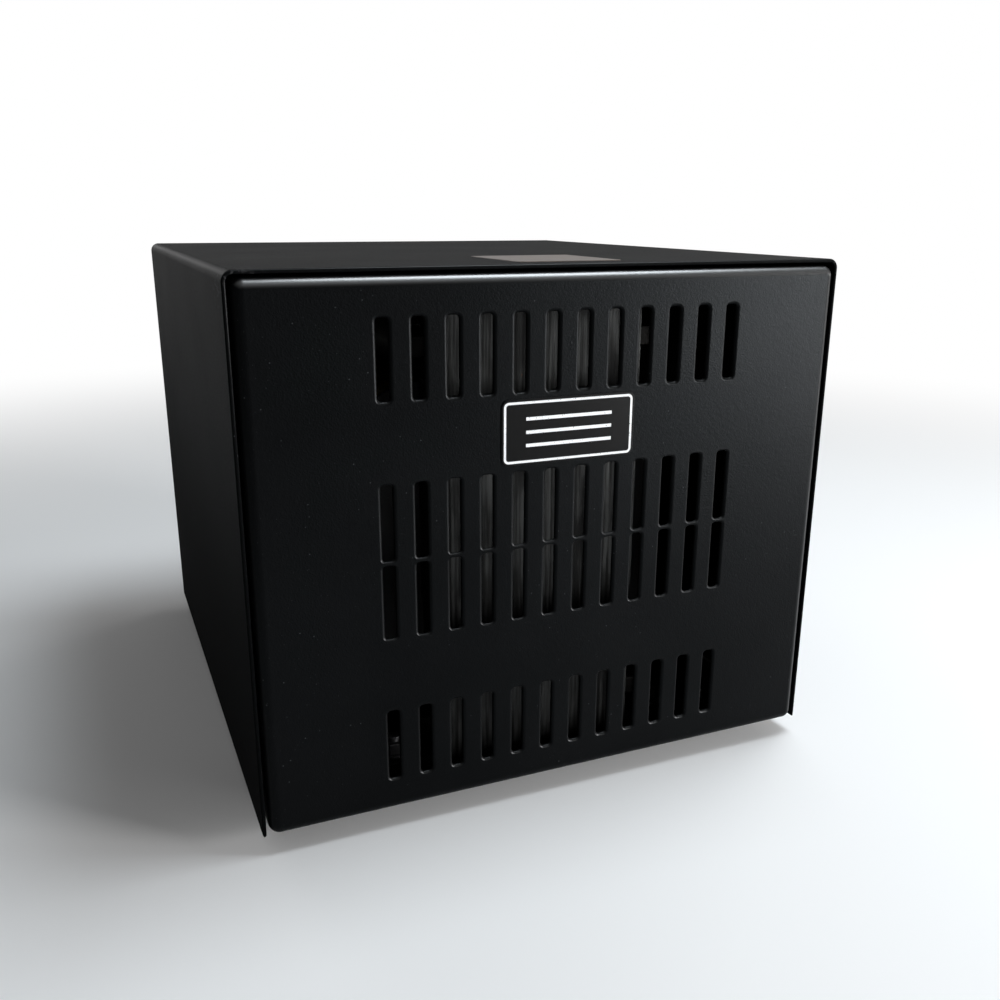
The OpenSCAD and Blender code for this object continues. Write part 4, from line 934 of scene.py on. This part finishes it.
def lamination_stack(name, node, outline, x0, x1, trim, seed, material):
    """A stack of steel sheets, lofted along X from one outline in Y and Z.

    Sheet j lies from x0 + j t to x0 + (j + 1) t. The outline is moved in by an inset drawn for each
    sheet, along the sum of its two edge normals, so every sheet's edge steps from the next.
    """
    draw = np.random.default_rng(seed)
    count = int(round((x1 - x0) / trim.lamination))
    drift = np.convolve(draw.random(count + 8), np.ones(9) / 9, "valid")
    insets = trim.stagger * (0.55 * draw.random(count) + 0.45 * (drift - drift.min()) / np.ptp(drift))
    edge = np.roll(outline, -1, axis=0) - outline
    edge /= np.linalg.norm(edge, axis=1, keepdims=True)
    out = np.stack([edge[:, 1], -edge[:, 0]], axis=1)
    mitre = out + np.roll(out, 1, axis=0)
    xs = np.linspace(x0, x1, count + 1)
    x = np.stack([xs[:-1], xs[1:]], axis=1).ravel()
    inset = np.repeat(insets, 2)
    rings = np.zeros((len(x), len(outline), 3))
    rings[..., 0] = x[:, None]
    rings[..., 1:] = outline[None] - mitre[None] * inset[:, None, None]
    made = piece(name, rings.reshape(-1, 3), capped(rings), material, node)
    made.data.polygons.foreach_set("use_smooth", np.zeros(len(made.data.polygons), bool))


class TRANSFORMER_OT_core(bpy.types.Operator):
    """Laminations, coil and clamping angles"""

    bl_idname = "transformer.core"
    bl_label = "Core and coil"

    def execute(self, context):
        trim, looks = context.scene.trim_sizes, context.scene.finishes
        steel = lamination_edges("lamination_edges", looks.steel)
        y0, y1, z0, z1 = CORE_LO[1], CORE_HI[1], CORE_LO[2], CORE_HI[2]
        leg = (z1 - z0) / 6
        yoke = y0 + leg
        teeth = [
            (y0, z0), (y1, z0), (y1, z0 + leg), (yoke, z0 + leg), (yoke, z0 + 2 * leg), (y1, z0 + 2 * leg),
            (y1, z1 - 2 * leg), (yoke, z1 - 2 * leg), (yoke, z1 - leg), (y1, z1 - leg), (y1, z1), (y0, z1),
        ]
        bar = [(YOKE_LO[1], z0), (YOKE_HI[1], z0), (YOKE_HI[1], z1), (YOKE_LO[1], z1)]
        for name, node, outline, lo, hi, seed in (
            ("e_laminations", "core_e_stack", teeth, CORE_LO, CORE_HI, 7),
            ("i_laminations", "core_i_stack", bar, YOKE_LO, YOKE_HI, 8),
        ):
            lamination_stack(name, node, np.array(outline), lo[0], hi[0], trim, seed, steel)
        copper = wound_wire("enamelled_copper_wire", looks.copper, 1.6 * MM)
        paper = wrapped_film("insulating_paper", (0.55, 0.42, 0.22), 20 * MM)
        tape = wrapped_film("winding_tape", (0.55, 0.36, 0.03), 14 * MM)
        former = moulding("former_plastic", (0.012, 0.012, 0.012), 0.5)
        dress(copper, "primary_winding", "secondary_winding")
        dress(paper, "insulation_layers", "bolt_sleeves")
        dress(tape, "outer_wrap")
        dress(bare_metal("copper_foil", (0.72, 0.33, 0.16), 0.3, brushed=(1, 12, 1)), "copper_screen")
        dress(former, "coil_former")
        bracket = powder_coat("bracket_paint", (0.003, 0.003, 0.0032), 0.5)
        soften(bracket, 0.5 * MM, "foot_angles", "clamp_bars")
        return {"FINISHED"}


class TRANSFORMER_OT_hardware(bpy.types.Operator):
    """Bolts, nuts, washers, screws and feet"""

    bl_idname = "transformer.hardware"
    bl_label = "Feet and fasteners"

    def execute(self, context):
        zinc = bare_metal("zinc_plate", (0.6, 0.61, 0.62), 0.34, stain=(0.35, 0.3, 0.16))
        black = bare_metal("black_oxide", (0.06, 0.06, 0.062), 0.42, stain=(0.1, 0.06, 0.04))
        soft = context.scene.trim_sizes.soft_edge
        varnished = bare_metal("varnished_steel", (0.014, 0.0135, 0.013), 0.5, stain=(0.02, 0.016, 0.012))
        # Painted shade: the mounting hardware's zinc is darkened to stand in for the shade inside the case,
        # with a brown stain
        dull = bare_metal("zinc_darkened_as_shade", (0.1, 0.1, 0.103), 0.5, stain=(0.08, 0.07, 0.05))
        soften(varnished, soft, "core_bolts", "core_nuts", "core_washers")
        soften(dull, soft, "mounting_bolts", "mounting_nuts", "mounting_washers")
        soften(zinc, soft, "foot_screws", "foot_nuts", "block_screws")
        soften(black, 0.6 * soft, "cover_screws", "inlet_screws")
        soften(rubber("foot_rubber", (0.014, 0.014, 0.015)), 2 * soft, "rubber_feet")
        return {"FINISHED"}


class TRANSFORMER_OT_rear(bpy.types.Operator):
    """Inlet, switch, breaker, lamp, outlets and earth stud"""

    bl_idname = "transformer.rear"
    bl_label = "Rear fittings"

    def execute(self, context):
        looks = context.scene.finishes
        soft = context.scene.trim_sizes.soft_edge
        black = moulding("black_moulding", (0.012, 0.012, 0.013), 0.4)
        nickel = bare_metal("nickel_plate", (0.62, 0.6, 0.56), 0.22)
        brass = bare_metal("terminal_brass", (0.72, 0.5, 0.2), 0.3, stain=(0.3, 0.16, 0.05))
        block = moulding("block_plastic", (0.02, 0.02, 0.021), 0.5)
        soften(black, soft, "inlet_housing", "switch_housing", "breaker_housing", "outlet_housings")
        soften(nickel, 0.6 * soft, "inlet_pins", "breaker_nut", "lamp_housing", "lamp_nut")
        soften(brass, 0.6 * soft, "earth_stud", "earth_nut", "earth_washer")
        soften(brass, 0.6 * soft, "terminal_plates", "terminal_screws")
        dress(brass, "outlet_contacts", "switch_tabs")
        soften(block, soft, "terminal_block")
        soften(clear_plastic("red_rocker", looks.rocker, 0.1), 1.2 * soft, "rocker")
        soften(moulding("white_button", (0.7, 0.69, 0.65), 0.35), soft, "reset_button")
        soften(clear_plastic("amber_lens", looks.lens, 0.3), 0.5 * soft, "lamp_lens")
        return {"FINISHED"}


class TRANSFORMER_OT_leads(bpy.types.Operator):
    """Insulated leads inside the case"""

    bl_idname = "transformer.leads"
    bl_label = "Leads"

    def execute(self, context):
        for node, name, tone in (
            ("primary_leads", "red_lead", (0.32, 0.015, 0.01)),
            ("secondary_leads", "blue_lead", (0.012, 0.035, 0.2)),
            ("supply_leads", "brown_lead", (0.12, 0.04, 0.016)),
            ("outlet_leads", "dark_blue_lead", (0.012, 0.03, 0.15)),
            ("earth_leads", "green_lead", (0.03, 0.24, 0.03)),
        ):
            dress(insulation(name, tone), node)
        return {"FINISHED"}


# Stage

# The camera's place in metres and its turn in degrees, solved from the photograph's perspective
CAMERA_AT = (-0.16798, -0.4774, 0.2348)
CAMERA_TURN = (73.0466, -0.2387, -23.0793)
CAMERA_SHIFT = (-0.0024, 0.0134)
LAMP_AIM = (0.0, 0.0, 0.1)
FLOOR_HALF = 8.0


def lamp(name, at, size, watts, tone=(1, 1, 1)):
    """A soft rectangular lamp at a place, turned to face the middle of the case."""
    light = bpy.data.lights.new(name, "AREA")
    light.shape, light.size, light.size_y = "RECTANGLE", size[0], size[1]
    light.energy, light.color = watts, tone
    made = bpy.data.objects.new(name, light)
    made.location = at
    way = np.array(at) - LAMP_AIM
    flat = math.hypot(way[0], way[1])
    made.rotation_euler = (math.atan2(flat, way[2]), 0.0, math.atan2(way[0], -way[1]))
    bpy.context.scene.collection.objects.link(made)


class TRANSFORMER_OT_stage(bpy.types.Operator):
    """Pale flat floor, plain soft light and the camera"""

    bl_idname = "transformer.stage"
    bl_label = "Stage"

    def execute(self, context):
        stage = context.scene.stage_sizes
        camera = bpy.data.cameras.new("camera")
        camera.sensor_width, camera.lens = 36.0, stage.lens_mm
        camera.shift_x, camera.shift_y = CAMERA_SHIFT
        eye = bpy.data.objects.new("camera", camera)
        eye.location = CAMERA_AT
        eye.rotation_euler = Euler([math.radians(a) for a in CAMERA_TURN])
        context.scene.collection.objects.link(eye)
        context.scene.camera = eye

        ahead = tuple(eye.rotation_euler.to_matrix() @ Vector((0, 0, -1)))
        sheet = bpy.data.meshes.new("floor")
        h = FLOOR_HALF
        sheet.from_pydata([(-h, -h, 0), (h, -h, 0), (h, h, 0), (-h, h, 0)], [], [(0, 1, 2, 3)])
        sheet.materials.append(pale_floor("pale_floor", ahead, stage.clear, stage.far))
        ground = bpy.data.objects.new("floor", sheet)
        context.scene.collection.objects.link(ground)

        world = bpy.data.worlds.new("plain_world")
        world.use_nodes = True
        sky = Finish.on(world.node_tree, "Background")
        shown, mirrored = sky.background_rays(ahead)
        sky.give(Strength=stage.fill + (1 - stage.fill) * shown.most(mirrored), Color=(1, 1, 1))
        context.scene.world = world

        lamp("key", (0.85, -0.9, 0.22), (0.32, 0.42), stage.key_watts)
        lamp("rim", (0.36, -0.12, 1.1), (0.5, 0.5), stage.rim_watts, (0.88, 0.95, 1))
        lamp("side", (-0.6, 1.5, 0.55), (0.7, 0.4), stage.side_watts)
        lamp("back", (1.5, 0.8, 0.8), (0.7, 0.5), stage.back_watts)
        lamp("right", (1.5, -0.4, 0.2), (0.4, 0.4), stage.right_watts)
        context.scene.view_settings.view_transform = "Standard"
        return {"FINISHED"}


class TRANSFORMER_PT_panel(bpy.types.Panel):
    """Buttons for the operators, and the sizes and colours that they use"""

    bl_idname = "TRANSFORMER_PT_panel"
    bl_label = "Isolation transformer"
    bl_space_type = "VIEW_3D"
    bl_region_type = "UI"
    bl_category = "Transformer"

    def draw(self, context):
        for operator in OPERATORS:
            self.layout.operator(operator.bl_idname)
        for group in ("case_sizes", "trim_sizes", "finishes", "stage_sizes"):
            box = self.layout.box()
            settings = getattr(context.scene, group)
            for name in settings.bl_rna.properties.keys():
                if name not in ("rna_type", "name"):
                    box.prop(settings, name)


GROUPS = {"case_sizes": CaseSizes, "trim_sizes": TrimSizes, "finishes": Finishes, "stage_sizes": StageSizes}
OPERATORS = (
    TRANSFORMER_OT_stage,
    TRANSFORMER_OT_chassis,
    TRANSFORMER_OT_cover,
    TRANSFORMER_OT_plate_and_label,
    TRANSFORMER_OT_core,
    TRANSFORMER_OT_hardware,
    TRANSFORMER_OT_rear,
    TRANSFORMER_OT_leads,
)


def register():
    for name, group in GROUPS.items():
        bpy.utils.register_class(group)
        setattr(bpy.types.Scene, name, bpy.props.PointerProperty(type=group))
    for operator in OPERATORS:
        bpy.utils.register_class(operator)
    bpy.utils.register_class(TRANSFORMER_PT_panel)


def unregister():
    bpy.utils.unregister_class(TRANSFORMER_PT_panel)
    for operator in reversed(OPERATORS):
        bpy.utils.unregister_class(operator)
    for name, group in GROUPS.items():
        delattr(bpy.types.Scene, name)
        bpy.utils.unregister_class(group)


def main():
    register()
    bpy.ops.transformer.stage()
    bpy.ops.transformer.chassis()
    bpy.ops.transformer.cover()
    bpy.ops.transformer.plate_and_label()
    bpy.ops.transformer.core()
    bpy.ops.transformer.hardware()
    bpy.ops.transformer.rear()
    bpy.ops.transformer.leads()


if __name__ == "__main__":
    main()
